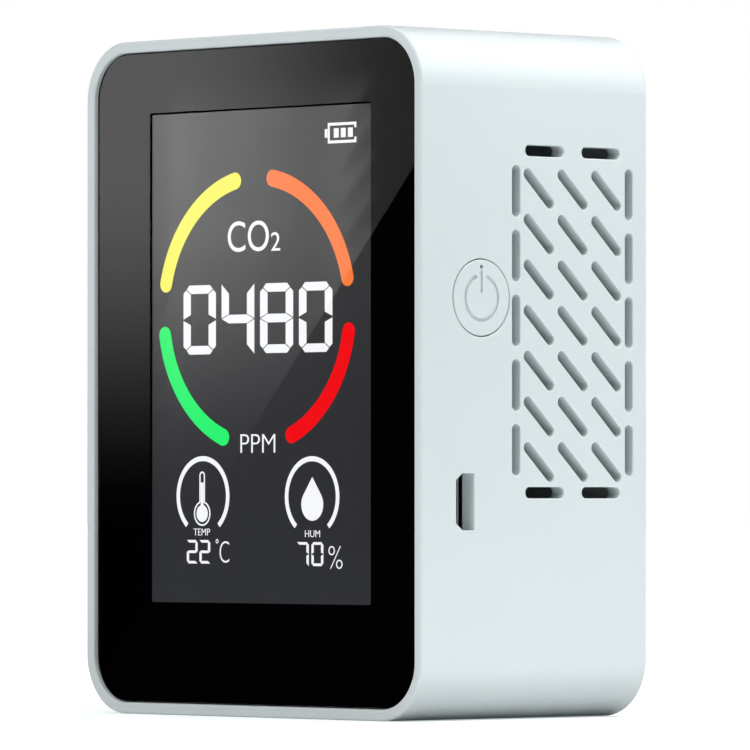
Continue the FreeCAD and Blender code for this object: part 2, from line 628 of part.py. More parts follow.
def chip_legs(label, chip, count, pitch):
    """Gull-wing legs along two sides of a chip: a foot on the board, a post and a shoulder into the package."""
    foot_y, top_y = f"{BOARD_BACK} + leg_thick", f"{BOARD_BACK} + leg_rise"
    legs = []
    for side in (-1, 1):
        root, heel, tip = (f"{chip}_across + {side} * ({chip}_half_across + {reach})"
                           for reach in ("0", "leg_heel", "leg_tip"))
        foot, shoulder = ((heel, tip), (root, heel)) if side > 0 else ((tip, heel), (heel, root))
        post = (f"{heel} - leg_thick / 2", f"{heel} + leg_thick / 2")
        for index, offset in enumerate(spread(count, pitch)):
            upright = (f"{chip}_up + {offset} - leg_half", f"{chip}_up + {offset} + leg_half")
            name = f"{label}_{'left' if side < 0 else 'right'}_{index}"
            legs.append(fuse(name, [
                block(name + "_foot", foot, (BOARD_BACK, foot_y), upright),
                block(name + "_post", post, (BOARD_BACK, top_y), upright),
                block(name + "_shoulder", shoulder, (f"{top_y} - leg_thick", top_y), upright)]))
    return legs


def make_chips():
    for label in ("controller_chip", "charger_chip", "crystal_can", "power_inductor", "humidity_sensor",
                  "charge_led"):
        finish_subpart(on_board(label, label), label)
    group("controller_legs", chip_legs("controller_leg", "controller_chip", 10, "0.8"))
    group("charger_legs", chip_legs("charger_leg", "charger_chip", 4, "1.27"))


def make_small_parts():
    """Chip resistors and capacitors, each in two short rows of four."""
    for label in ("chip_resistors", "chip_capacitors"):
        places = [(f"{index % 4} * chip_step", f"{index // 4} * chip_rise") for index in range(8)]
        group(label, [on_board(f"{label}_{index}", label, *place) for index, place in enumerate(places)])


# ---- The button and its switch ----

def make_power_button():
    body = new_body("power_button")
    cap = side_sketch(body, "cap", "case_width / 2")
    circle(cap, "button_at", "button_up", "button_hole - button_gap")
    extrude(body, "Pad", cap, f"case_width / 2 - ({FLANGE_FACE})", backwards=True)
    dress(body, "Fillet", "button_ease", lies_at("X", "case_width / 2"))
    flange = side_sketch(body, "flange", FLANGE_FACE)
    circle(flange, "button_at", "button_up", "flange_radius")
    extrude(body, "Pad", flange, "flange_thick", backwards=True)
    post = side_sketch(body, "push_post", f"{FLANGE_FACE} - flange_thick")
    circle(post, "button_at", "button_up", "post_radius")
    extrude(body, "Pad", post, f"{FLANGE_FACE} - flange_thick - switch_front - plunger_out - press_gap",
            backwards=True)
    engrave_symbol(body)
    pinhole = side_sketch(body, "pinhole", "case_width / 2")
    circle(pinhole, "button_at", "pinhole_up", "pinhole_radius")
    extrude(body, "Pocket", pinhole, "wall + flange_gap + flange_thick + 0.1")


def engrave_symbol(body):
    """The usual standby sign: an open ring and an upright bar, sunk into the cap."""
    ring = side_sketch(body, "symbol_ring", "case_width / 2")
    centre = Vector(number("button_at"), number("button_up"), 0)
    inner, outer = (number(f"symbol_radius {sign} symbol_stroke / 2") for sign in "-+")
    gap = number("symbol_gap_angle")
    arcs = []
    for radius in (inner, outer):
        ends = [centre + Rotation(Vector(0, 0, 1), angle).multVec(Vector(0, radius, 0))
                for angle in (gap, 180, -gap)]
        arcs.append(ring.addGeometry(Part.Arc(*ends)))
    for point in (1, 2):
        start, end = (getattr(ring.Geometry[arc], ("StartPoint", "EndPoint")[point - 1]) for arc in arcs)
        line = ring.addGeometry(Part.LineSegment(start, end))
        ring.addConstraint(Sketcher.Constraint("Coincident", line, 1, arcs[0], point))
        ring.addConstraint(Sketcher.Constraint("Coincident", line, 2, arcs[1], point))
    for arc, size in zip(arcs, ("symbol_radius - symbol_stroke / 2", "symbol_radius + symbol_stroke / 2")):
        pin_point(ring, arc, 3, "button_at", "button_up")
        driven(ring, "Radius", arc, size=size)
        for point in (1, 2):
            driven(ring, "DistanceX", -1, 1, arc, point, size=end_place(ring, arc, point, size))
    extrude(body, "Pocket", ring, "symbol_depth")
    bar = side_sketch(body, "symbol_bar", "case_width / 2")
    bar_sides = [f"button_at {sign} symbol_stroke / 2" for sign in "-+"]
    rounded_box(bar, *bar_sides, "bar_low", "bar_high", "0.1")
    extrude(body, "Pocket", bar, "symbol_depth")


def end_place(ring, arc, point, radius):
    """The place along Y of an end of the open ring, as a formula of its radius and gap."""
    end = getattr(ring.Geometry[arc], ("StartPoint", "EndPoint")[point - 1])
    sign = "+" if end.x > number("button_at") else "-"
    return f"button_at {sign} ({radius}) * sin(symbol_gap_angle)"


def make_switch():
    """A side-push switch: its plunger is on the button's axis."""
    y, z = "button_at", "button_up"
    across, upright = ((f"{middle} - switch_half", f"{middle} + switch_half") for middle in (y, z))
    shell = block("switch_shell", ("switch_front - switch_deep", "switch_front"), across, upright)
    bore = rod("switch_bore", "x", "switch_front - plunger_in - 0.4", y, z, "plunger_radius + plunger_gap",
               "plunger_in + 0.5")
    finish_subpart(cut("switch_body", shell, [bore]), "switch_body")
    finish_subpart(rod("switch_plunger", "x", "switch_front - plunger_in", y, z, "plunger_radius",
                       "plunger_in + plunger_out"), "switch_plunger")
    pins = [block(f"switch_pin_{index}", ("switch_front - 2.2", "switch_front - 1.6"),
                  (BOARD_BACK, f"{y} - switch_half"), (f"{z} + {offset} - 0.3", f"{z} + {offset} + 0.3"))
            for index, offset in enumerate(("-2.25", "2.25"))]
    group("switch_pins", pins)
    make_switch_bracket(y, z)


def make_switch_bracket(y, z):
    """A bent sheet around the switch: a face with a hole, two sides, and a leg from each to the board."""
    outer = "switch_front + bracket_thick"
    face = block("bracket_face", ("switch_front", outer), (f"{y} - switch_half", f"{y} + switch_half"),
                 (f"{z} - switch_half - bracket_thick", f"{z} + switch_half + bracket_thick"))
    hole = rod("bracket_hole", "x", "switch_front - 0.1", y, z, "plunger_radius + 0.25", "bracket_thick + 0.2")
    sides = []
    for index, (low, high) in enumerate((("- switch_half - bracket_thick", "- switch_half"),
                                         ("+ switch_half", "+ switch_half + bracket_thick"))):
        upright = (f"{z} {low}", f"{z} {high}")
        sides.append(block(f"bracket_side_{index}", ("switch_front - switch_deep", outer),
                           (f"{y} - switch_half", f"{y} + switch_half"), upright))
        sides.append(block(f"bracket_leg_{index}", ("switch_front - 2", "switch_front - 1"),
                           (BOARD_BACK, f"{y} - switch_half"), upright))
    finish_subpart(cut("switch_bracket", fuse("bracket_blank", [face] + sides), [hole]), "switch_bracket")


# ---- The connector ----

def make_connector():
    """A micro connector on the back of the board, its mouth just inside the side wall."""
    board, top = BOARD_BACK, f"{BOARD_BACK} + shell_high"
    low, high = "port_up - shell_long / 2", "port_up + shell_long / 2"
    body = new_body("usb_shell")
    outline = port_outline(body, "shell_outline", "shell_front", board, top, low, high)
    extrude(body, "Pad", outline, "shell_deep", backwards=True)
    inner = [f"{place} {sign} shell_thick" for place, sign in zip((board, top, low, high), "+-+-")]
    mouth = port_outline(body, "shell_mouth", "shell_front", *inner)
    extrude(body, "Pocket", mouth, "shell_deep - shell_thick")
    add_seam_tab(body)
    make_tongue(f"{board} + shell_high / 2", "shell_front - shell_deep + shell_thick")


def add_seam_tab(body):
    """The dovetail where the shell's folded sheet meets, standing into the mouth on the board side."""
    tab = side_sketch(body, "seam_tab", "shell_front")
    inner = f"{BOARD_BACK} + shell_thick / 2"
    low, high = "port_up - seam_long / 2", "port_up + seam_long / 2"
    rounded_box(tab, inner, f"{inner} + seam_high", low, high, "0.05")
    extrude(body, "Pad", tab, "seam_deep", backwards=True)


def make_tongue(middle, root):
    """The blade that carries the contacts, on a base that fills the back of the shell."""
    blade_low, blade_high = (f"{middle} {sign} tongue_thick / 2" for sign in "-+")
    base_low, base_high = (f"{middle} {sign} (shell_high / 2 - shell_thick - film_gap / 2)" for sign in "-+")
    upright = ("port_up - tongue_half", "port_up + tongue_half")
    blade = block("tongue_blade", (root, "shell_front - tongue_back"), (blade_low, blade_high), upright)
    base = block("tongue_base", (root, f"{root} + tongue_root"), (base_low, base_high), upright)
    finish_subpart(fuse("usb_tongue", [blade, base]), "usb_tongue")
    group("usb_contacts", [
        block(f"contact_{index}", (f"{root} + tongue_root", "shell_front - tongue_back - contact_wide"),
              (f"{blade_low} - contact_thick", blade_low),
              (f"port_up + {offset} - contact_wide / 2", f"port_up + {offset} + contact_wide / 2"))
        for index, offset in enumerate(spread(CONTACT_COUNT, "contact_pitch"))])


# ---- The gas sensor ----

def module_area(side_inset, end_inset, corner):
    """A rounded area of the sensor's board, inset from its sides and its ends."""
    return (f"module_left + {side_inset}", f"module_right - {side_inset}", f"module_low + {end_inset}",
            f"module_high - {end_inset}", corner)


def make_sensor_module():
    finish_subpart(block("co2_sensor_board", ("module_left", "module_right"), (MODULE_FRONT, MODULE_BACK),
                         ("module_low", "module_high")), "co2_sensor_board")
    chamber = new_body("co2_sensor_chamber")
    front_plate(chamber, "chamber_block", module_area("chamber_inset", "chamber_end", "chamber_corner"),
                MODULE_BACK, "chamber_high")
    dress(chamber, "Fillet", "chamber_ease", lies_at("Y", CHAMBER_BACK))
    film = new_body("co2_sensor_filter")
    front_plate(film, "filter_sheet", module_area("filter_inset", "filter_end", "filter_corner"),
                CHAMBER_BACK, "filter_thick")
    pins = []
    for side, up in (("low", "module_low + header_inset"), ("high", "module_high - header_inset")):
        for index, offset in enumerate(spread(SENSOR_PIN_COUNT, "header_pitch")):
            across = f"(module_left + module_right) / 2 + {offset}"
            sides, upright = ((f"{place} - header_half", f"{place} + header_half") for place in (across, up))
            pins.append(block(f"sensor_pin_{side}_{index}", sides, (BOARD_BACK, MODULE_FRONT), upright))
    group("co2_sensor_pins", pins)


# ---- The battery ----

def make_battery():
    body = new_body("battery_cell")
    outline = ("cell_left", "cell_right", "cell_low", "cell_high", "cell_corner")
    front_plate(body, "pouch", outline, CELL_FRONT, "cell_thick")
    front, back = lies_at("Y", CELL_FRONT), lies_at("Y", CELL_BACK)
    dress(body, "Fillet", "cell_round", lambda edge: front(edge) or back(edge))
    tape = block("battery_tape", ("cell_left + tape_inset", "cell_right - tape_inset"), (CELL_BACK, COVER_FRONT),
                 ("cell_low + tape_inset", "cell_high - tape_inset"))
    finish_subpart(tape, "battery_tape")
    middle, across = f"{CELL_FRONT} + cell_thick / 2", "(lead_left + lead_right) / 2"
    protection = block("battery_protection_board",
                       (f"{across} - protection_half", f"{across} + protection_half"),
                       (f"{middle} - protection_thick / 2", f"{middle} + protection_thick / 2"),
                       ("cell_high", "cell_high + protection_high"))
    finish_subpart(protection, "battery_protection_board")


def make_battery_socket():
    """A side-entry socket lying on the board, open at the top, with the plug pushed in."""
    across, top = "(lead_left + lead_right) / 2", "socket_up + socket_high"

    def inset_block(label, inset, low, high):
        return block(label, (f"{across} - socket_half + {inset}", f"{across} + socket_half - {inset}"),
                     (f"{BOARD_BACK} + {inset}", f"{BOARD_BACK} + socket_deep - {inset}"), (low, high))
    box = inset_block("socket_box", "0", "socket_up", top)
    hollow = inset_block("socket_hollow", "socket_wall", "socket_up + socket_floor", f"{top} + plug_out")
    finish_subpart(cut("battery_socket", box, [hollow]), "battery_socket")
    plug = inset_block("battery_plug", "(socket_wall + plug_gap)", "socket_up + socket_floor + plug_gap",
                       f"{top} + plug_out")
    finish_subpart(plug, "battery_plug")


def make_battery_leads():
    """Each lead leaves the protection board upwards, crosses over the board and drops into the plug."""
    radius, bend = number("lead_radius"), number("lead_bend")
    start_y, end_y = number(f"{CELL_FRONT} + cell_thick / 2"), number(f"{BOARD_BACK} + socket_deep / 2")
    start_z, end_z = number("cell_high + protection_high"), number("socket_up + socket_high + plug_out")
    rise = start_z + number("lead_rise")
    top = rise + bend
    for label, side in (("battery_lead_red", "lead_right"), ("battery_lead_black", "lead_left")):
        x = number(side)
        corner = bend * math.sin(QUARTER_TURN / 2)
        points = {
            "start": Vector(x, start_y, start_z), "rise": Vector(x, start_y, rise),
            "turn": Vector(x, start_y - bend + corner, rise + corner), "over": Vector(x, start_y - bend, top),
            "across": Vector(x, end_y + bend, top), "drop": Vector(x, end_y + bend - corner, rise + corner),
            "fall": Vector(x, end_y, rise), "end": Vector(x, end_y, end_z),
        }
        path = Part.Wire([
            Part.LineSegment(points["start"], points["rise"]).toShape(),
            Part.Arc(points["rise"], points["turn"], points["over"]).toShape(),
            Part.LineSegment(points["over"], points["across"]).toShape(),
            Part.Arc(points["across"], points["drop"], points["fall"]).toShape(),
            Part.LineSegment(points["fall"], points["end"]).toShape()])
        section = Part.Wire([Part.Circle(points["start"], Vector(0, 0, 1), radius).toShape()])
        lead = doc.addObject("Part::Feature", label)
        lead.Shape = path.makePipeShell([section], True, True)
        lead.Placement = Placement()
        print(label, "volume", round(lead.Shape.Volume, 2), "of", round(math.pi * radius ** 2 * path.Length, 2))
        finish_subpart(lead, label)


def check_and_export():
    doc.recompute()
    for thing in doc.Objects:
        if {"Invalid", "Error"} & set(thing.State):
            raise RuntimeError(f"{thing.Label} failed: {thing.State}")
    os.makedirs("parts", exist_ok=True)
    for piece in SUBPARTS:
        shape = piece.Shape
        if shape.isNull() or not shape.isValid() or not shape.Solids:
            raise RuntimeError(f"{piece.Label} has no valid solid")
        shape.exportStep(f"parts/{piece.Label}.step")
        box = shape.BoundBox
        print(f"{piece.Label:26s} solids {len(shape.Solids):2d}  volume {shape.Volume:9.2f}  "
              f"{box.XLength:6.2f} x {box.YLength:6.2f} x {box.ZLength:6.2f}")
    print(len(SUBPARTS), "sub-parts")


make_housing()
make_back_cover()
make_cover_screws()
make_front_lens()
make_lens_mask()
make_lens_adhesive()
make_display_glass()
make_backlight()
make_lcd_frame()
make_lcd_pins()
make_main_board()
make_board_screws()
make_chips()
make_small_parts()
make_power_button()
make_switch()
make_connector()
make_sensor_module()
make_battery()
make_battery_socket()
make_battery_leads()
check_and_export()
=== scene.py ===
# %% [markdown]
# # A desktop air quality monitor
# The monitor is a white moulded sleeve with a glossy black front, a segment display behind it, and a vent,
# a button and a charging port in one side. Its solid parts come from the CAD model and stay as they are.
# This lesson gives each of them its finish, prints the display's signs behind the lens, and lights the
# whole thing. Everything is in metres: the front faces -Y, the button side is +X and the top is +Z.

# %% Load the CAD frame
import json
import math

import bmesh
import bpy
from mathutils import Matrix, Vector


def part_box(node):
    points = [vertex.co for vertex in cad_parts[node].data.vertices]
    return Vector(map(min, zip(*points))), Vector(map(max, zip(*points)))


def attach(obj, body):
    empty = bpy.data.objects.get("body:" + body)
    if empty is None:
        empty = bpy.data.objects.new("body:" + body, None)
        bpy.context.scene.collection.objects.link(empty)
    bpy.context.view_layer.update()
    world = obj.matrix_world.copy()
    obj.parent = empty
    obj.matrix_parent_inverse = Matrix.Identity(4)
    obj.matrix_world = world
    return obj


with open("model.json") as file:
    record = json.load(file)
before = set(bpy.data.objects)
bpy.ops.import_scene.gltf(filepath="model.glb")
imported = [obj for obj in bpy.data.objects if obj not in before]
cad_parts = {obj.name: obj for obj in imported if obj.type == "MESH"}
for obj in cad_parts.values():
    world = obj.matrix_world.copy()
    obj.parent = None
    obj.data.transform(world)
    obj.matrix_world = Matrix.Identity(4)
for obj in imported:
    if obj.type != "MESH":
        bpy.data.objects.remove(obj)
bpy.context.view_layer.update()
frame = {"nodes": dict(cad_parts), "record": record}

MM = 0.001
scene = bpy.context.scene
case_low, case_high = (Vector(corner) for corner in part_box("housing"))
case_size = case_high - case_low
print("case in mm:", [round(side / MM, 1) for side in case_size])

# %% [markdown]
# ## The camera
# A long lens far away keeps the case's edges almost parallel, the way a catalogue picture does. The camera
# looks at the corner between the display and the button side, from a little below the middle of the case.
# It is placed first, because the reflection card further down is worked out from where it stands.

# %% Place the camera
CAMERA_AZIMUTH = math.radians(47.57)
CAMERA_ELEVATION = math.radians(-0.917)
CAMERA_DISTANCE = 1.069
CAMERA_SLIDE = (1.53 * MM, 0.27 * MM)
CAMERA_LENS = 376.35

camera_back = Vector((math.sin(CAMERA_AZIMUTH) * math.cos(CAMERA_ELEVATION),
                      -math.cos(CAMERA_AZIMUTH) * math.cos(CAMERA_ELEVATION), math.sin(CAMERA_ELEVATION)))
camera_right = Vector((math.cos(CAMERA_AZIMUTH), math.sin(CAMERA_AZIMUTH), 0))
camera_up = camera_back.cross(camera_right)
camera_data = bpy.data.cameras.new("camera")
camera_data.lens = CAMERA_LENS
camera_data.sensor_width = 36
camera_data.clip_start = 0.05
camera_data.clip_end = 50
camera = bpy.data.objects.new("camera", camera_data)
scene.collection.objects.link(camera)
case_middle = (case_low + case_high) / 2
camera_place = (case_middle + camera_right * CAMERA_SLIDE[0] + camera_up * CAMERA_SLIDE[1]
                + camera_back * CAMERA_DISTANCE)
camera_turn = Matrix((camera_right, camera_up, camera_back)).transposed()
camera.matrix_world = Matrix.Translation(camera_place) @ camera_turn.to_4x4()
scene.camera = camera
print("camera in mm:", [round(place / MM, 1) for place in camera_place])

# %% [markdown]
# ## A builder for moulded, cast and plated finishes
# Most parts here are small mouldings, platings and films. Each needs the same three things at its own
# scale: a slight drift of tone over the surface, a roughness that isn't even, and a fine grain that bends
# the light. One builder makes all three from noise on Object coordinates, so the finish is fixed to the
# part and never slides.

# %% The finish builder
TONE_PER_METRE, UNEVEN_PER_METRE = 45, 160
GRAIN_STRENGTH = 0.6


def calculate(nodes, links, operation, *values):
    """A Math node; each value is a number or another node's output."""
    step = nodes.new("ShaderNodeMath")
    step.operation = operation
    for place, value in zip(step.inputs, values):
        if isinstance(value, (int, float)):
            place.default_value = value
        else:
            links.new(value, place)
    return step.outputs["Value"]


def noise(nodes, links, coordinates, scale, detail=3):
    texture = nodes.new("ShaderNodeTexNoise")
    texture.inputs["Scale"].default_value = scale
    texture.inputs["Detail"].default_value = detail
    links.new(coordinates, texture.inputs["Vector"])
    return texture.outputs["Fac"]


def spread_of(nodes, links, value, low, high):
    """Stretches a noise, which keeps to the middle of its range, to run from low to high."""
    remap = nodes.new("ShaderNodeMapRange")
    remap.inputs["From Min"].default_value = 0.3
    remap.inputs["From Max"].default_value = 0.7
    remap.inputs["To Min"].default_value = low
    remap.inputs["To Max"].default_value = high
    links.new(value, remap.inputs["Value"])
    return remap.outputs["Result"]


def finish(name, colour, roughness, metallic=0.0, grain=0.4 * MM, depth=0.004 * MM, drift=0.03,
           roughness_drift=0.05, specular=0.5):
    """A Principled material with drifting tone, uneven roughness and a fine grain of the given size."""
    material = bpy.data.materials.new(name)
    material.use_nodes = True
    nodes, links = material.node_tree.nodes, material.node_tree.links
    shader = nodes["Principled BSDF"]
    shader.inputs["Metallic"].default_value = metallic
    shader.inputs["Specular IOR Level"].default_value = specular
    coordinates = nodes.new("ShaderNodeTexCoord").outputs["Object"]
    tone = nodes.new("ShaderNodeMix")
    tone.data_type = "RGBA"
    tone.inputs["A"].default_value = (*[channel * (1 - drift) for channel in colour], 1)
    tone.inputs["B"].default_value = (*[min(1, channel * (1 + drift)) for channel in colour], 1)
    drifting = noise(nodes, links, coordinates, TONE_PER_METRE)
    links.new(spread_of(nodes, links, drifting, 0, 1), tone.inputs["Factor"])
    links.new(tone.outputs["Result"], shader.inputs["Base Color"])
    uneven = noise(nodes, links, coordinates, UNEVEN_PER_METRE, detail=4)
    links.new(spread_of(nodes, links, uneven, roughness - roughness_drift, roughness + roughness_drift),
              shader.inputs["Roughness"])
    bump = nodes.new("ShaderNodeBump")
    bump.inputs["Distance"].default_value = depth
    bump.inputs["Strength"].default_value = GRAIN_STRENGTH
    links.new(noise(nodes, links, coordinates, 1 / grain, detail=2), bump.inputs["Height"])
    links.new(bump.outputs["Normal"], shader.inputs["Normal"])
    return material


print("tone drifts over", round(1 / TONE_PER_METRE / MM), "mm, roughness over",
      round(1 / UNEVEN_PER_METRE / MM), "mm")

# %% [markdown]
# ## The white mouldings
# The sleeve, the back cover and the button cap are ABS from spark-eroded moulds: cool white, satin, with a
# grain just fine enough to take the shine off. A little scattering under the surface keeps the shadow sides
# soft.

# %% White moulded plastic
WHITE_TONE = (0.625, 0.677, 0.692)


def moulded_white():
    material = finish("moulded_white", WHITE_TONE, roughness=0.36, grain=0.35 * MM, depth=0.002 * MM,
                      drift=0.006, roughness_drift=0.04, specular=0.6)
    shader = material.node_tree.nodes["Principled BSDF"]
    shader.inputs["Subsurface Weight"].default_value = 0.06
    shader.inputs["Subsurface Radius"].default_value = (1, 0.9, 0.8)
    shader.inputs["Subsurface Scale"].default_value = 0.6 * MM
    return material


print("white plastic:", WHITE_TONE)

# %% [markdown]
# ## The lens and the display glass
# The lens is clear acrylic, printed black on its back around the window. Clear parts this thin are best
# made as a mix of a transparent and a mirror shader, shared out by Fresnel: the display stays sharp behind
# them, and the lens still picks up the lights around it. Rays aren't bent in such a sheet, so only its
# outward sides may mirror, or the far side would turn into a perfect mirror. The print is matt black: all
# the shine is the lens's.

# %% Clear sheets
ACRYLIC_IOR, GLASS_IOR = 1.49, 1.52


def clear_sheet(name, tint, ior):
    """Looks straight through, tinted, and mirrors on its outward sides as Fresnel says."""
    material = bpy.data.materials.new(name)
    material.use_nodes = True
    nodes, links = material.node_tree.nodes, material.node_tree.links
    nodes.remove(nodes["Principled BSDF"])
    through = nodes.new("ShaderNodeBsdfTransparent")
    through.inputs["Color"].default_value = (*tint, 1)
    shine = nodes.new("ShaderNodeBsdfGlossy")
    shine.inputs["Roughness"].default_value = 0
    edge = nodes.new("ShaderNodeFresnel")
    edge.inputs["IOR"].default_value = ior
    inward = nodes.new("ShaderNodeNewGeometry").outputs["Backfacing"]
    outward = calculate(nodes, links, "SUBTRACT", 1, inward)
    mix = nodes.new("ShaderNodeMixShader")
    links.new(calculate(nodes, links, "MULTIPLY", edge.outputs["Fac"], outward), mix.inputs["Fac"])
    links.new(through.outputs["BSDF"], mix.inputs[1])
    links.new(shine.outputs["BSDF"], mix.inputs[2])
    links.new(mix.outputs["Shader"], nodes["Material Output"].inputs["Surface"])
    return material


print("refractive indices:", ACRYLIC_IOR, GLASS_IOR)

# %% [markdown]
# ## The front polariser
# A display that shows bright signs on a dark ground blocks its backlight everywhere else, but never quite.
# So the film is nearly black, gives off a faint grey light that grows towards the lamps at the bottom edge,
# and has a satin shine, which spreads what it mirrors and keeps it from drawing a second sharp edge behind
# the lens.

# %% Polariser film
LEAK_HIGH, LEAK_LOW = (60 * MM, 0.014), (15 * MM, 0.034)


def display_film():
    material = finish("display_film", (0.004, 0.004, 0.0045), roughness=0.16, grain=2 * MM, depth=0.0001 * MM,
                      drift=0.02, roughness_drift=0.02, specular=0.5)
    nodes, links = material.node_tree.nodes, material.node_tree.links
    shader = nodes["Principled BSDF"]
    shader.inputs["Emission Color"].default_value = (0.82, 0.86, 1, 1)
    place = nodes.new("ShaderNodeSeparateXYZ")
    links.new(nodes["Texture Coordinate"].outputs["Object"], place.inputs["Vector"])
    leak = nodes.new("ShaderNodeMapRange")
    for name, value in (("From Min", LEAK_LOW[0]), ("To Min", LEAK_LOW[1]), ("From Max", LEAK_HIGH[0]),
                        ("To Max", LEAK_HIGH[1])):
        leak.inputs[name].default_value = value
    links.new(place.outputs["Z"], leak.inputs["Value"])
    links.new(leak.outputs["Result"], shader.inputs["Emission Strength"])
    return material


print("backlight leak, top to bottom:", LEAK_HIGH[1], "to", LEAK_LOW[1])

# %% [markdown]
# ## Lit display segments
# The signs are windows in the liquid crystal through which the backlight shines, some of them over a
# coloured film. Each is its own light source, so its brightness doesn't depend on the room.

# %% Lit segment finishes
SEGMENT_COLOURS = {
    "display_white": (0.97, 0.98, 1.0), "display_yellow": (0.985, 0.92, 0.115),
    "display_orange": (0.985, 0.215, 0.05), "display_green": (0.02, 0.93, 0.17),
    "display_red": (0.93, 0.004, 0.008),
}
SEGMENT_GLOW = 1.04


def lit_segment(name):
    material = finish(name, (0.002, 0.002, 0.002), roughness=0.012, grain=2 * MM, depth=0.00005 * MM,
                      roughness_drift=0.004, specular=0.0)
    shader = material.node_tree.nodes["Principled BSDF"]
    shader.inputs["Emission Color"].default_value = (*SEGMENT_COLOURS[name], 1)
    shader.inputs["Emission Strength"].default_value = SEGMENT_GLOW
    return material


segment_finishes = {name: lit_segment(name) for name in SEGMENT_COLOURS}
print("segment finishes:", ", ".join(segment_finishes))

# %% [markdown]
# ## The circuit board
# The boards show in glimpses through the vent. Solder mask over copper is two greens with a fine network of
# tracks, so a cell pattern with sharp edges stands for the tracks, on top of the usual grain.

# %% Circuit board
TRACKS_PER_METRE = 420
TRACK_SHARE = 0.06


def board_finish():
    material = finish("solder_mask", (0.012, 0.12, 0.05), roughness=0.3, grain=0.5 * MM, depth=0.003 * MM)
    nodes, links = material.node_tree.nodes, material.node_tree.links
    shader = nodes["Principled BSDF"]
    tracks = nodes.new("ShaderNodeTexVoronoi")
    tracks.distance = "MANHATTAN"
    tracks.feature = "DISTANCE_TO_EDGE"
    tracks.inputs["Scale"].default_value = TRACKS_PER_METRE
    links.new(nodes["Texture Coordinate"].outputs["Object"], tracks.inputs["Vector"])
    line = calculate(nodes, links, "LESS_THAN", tracks.outputs["Distance"], TRACK_SHARE)
    mask = nodes.new("ShaderNodeMix")
    mask.data_type = "RGBA"
    mask.inputs["B"].default_value = (0.03, 0.24, 0.10, 1)
    links.new(line, mask.inputs["Factor"])
    links.new(shader.inputs["Base Color"].links[0].from_socket, mask.inputs["A"])
    links.new(mask.outputs["Result"], shader.inputs["Base Color"])
    return material


print("track pitch:", round(1 / TRACKS_PER_METRE / MM, 1), "mm")

# %% [markdown]
# ## One finish for each slot
# The record names a material slot for every CAD part. A table from slot to finish keeps the choice in one
# place, and the loop after it hands each part its material. Most of these parts are hidden inside the case,
# and some show through the vent and the port: plated steel, foil, resin and nylon, each with its own shine
# and grain.

# %% Finish every CAD part
def slot_finishes():
    return {
        "white_plastic": moulded_white(),
        "screw_steel": finish("zinc_plate", (0.52, 0.53, 0.55), 0.3, metallic=1, grain=0.3 * MM,
                              depth=0.006 * MM),
        "clear_acrylic": clear_sheet("clear_acrylic", (0.985, 0.985, 0.985), ACRYLIC_IOR),
        "black_print": finish("black_print", (0.0005, 0.0005, 0.0005), 0.6, grain=0.2 * MM, specular=0.0),
        "adhesive_tape": finish("foam_tape", (0.02, 0.02, 0.02), 0.8, grain=0.3 * MM, depth=0.02 * MM),
        "polariser_film": display_film(),
        "display_glass": clear_sheet("display_glass", (0.9, 0.92, 0.92), GLASS_IOR),
        "white_film": finish("diffuser_film", (0.85, 0.85, 0.84), 0.6, grain=0.15 * MM, depth=0.003 * MM),
        "guide_acrylic": finish("light_guide", (0.8, 0.83, 0.84), 0.12, grain=0.6 * MM, depth=0.002 * MM),
        "led_resin": finish("led_resin", (0.83, 0.75, 0.3), 0.25, grain=0.3 * MM),
        "inner_plastic": finish("natural_nylon", (0.72, 0.69, 0.6), 0.45, grain=0.3 * MM),
        "tinned_metal": finish("tin_plate", (0.7, 0.7, 0.68), 0.4, metallic=1, grain=0.25 * MM),
        "circuit_board": board_finish(),
        "chip_resin": finish("chip_resin", (0.018, 0.018, 0.02), 0.55, grain=0.12 * MM, depth=0.008 * MM),
        "ferrite": finish("ferrite", (0.06, 0.06, 0.065), 0.7, grain=0.2 * MM, depth=0.02 * MM),
        "capacitor_ceramic": finish("fired_ceramic", (0.35, 0.24, 0.15), 0.5, grain=0.2 * MM),
        "black_plastic": finish("black_moulding", (0.03, 0.03, 0.031), 0.5, grain=0.2 * MM),
        "gold_contact": finish("gold_flash", (0.83, 0.6, 0.2), 0.22, metallic=1, grain=0.2 * MM),
        "sensor_metal": finish("gold_plated_chamber", (0.78, 0.58, 0.25), 0.3, metallic=1, grain=0.4 * MM),
        "pouch_foil": finish("pouch_foil", (0.6, 0.61, 0.63), 0.38, metallic=1, grain=1.2 * MM,
                             depth=0.03 * MM),
        "red_wire": finish("red_silicone", (0.45, 0.015, 0.01), 0.5, grain=0.3 * MM),
        "black_wire": finish("black_silicone", (0.012, 0.012, 0.012), 0.5, grain=0.3 * MM),
    }


finishes = slot_finishes()
for subpart in frame["record"]["subparts"]:
    cad_part = frame["nodes"][subpart["node"]]
    cad_part.data.materials.clear()
    cad_part.data.materials.append(finishes[subpart["material_slot"]])
print("finished CAD parts:", len(frame["nodes"]))

# %% [markdown]
# ## Where the signs lie
# The signs sit in the thin gap between the lens print and the front polariser. Each is a very thin solid,
# so it has a face to see and a back that hides the film. A small helper turns a list of outline points, in
# display coordinates, into such a solid, and another gives the finished piece its material and the case's body.

# %% Helpers for thin printed pieces
film_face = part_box("lcd_front_polariser")[0][1]
print_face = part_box("lens_mask")[1][1]
lens_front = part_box("front_lens")[0][1]
SIGN_THICK = 0.03 * MM
SIGN_CLEARANCE = 0.3        # share of the gap between film and print that stays free behind the signs
sign_back = film_face - SIGN_CLEARANCE * (film_face - print_face)
sign_front = sign_back - SIGN_THICK


def keep_piece(piece, colour):
    """Gives a finished display piece its material and the body it rides on."""
    piece.data.materials.clear()
    piece.data.materials.append(segment_finishes.get(colour) or finishes[colour])
    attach(piece, "case")
    return piece


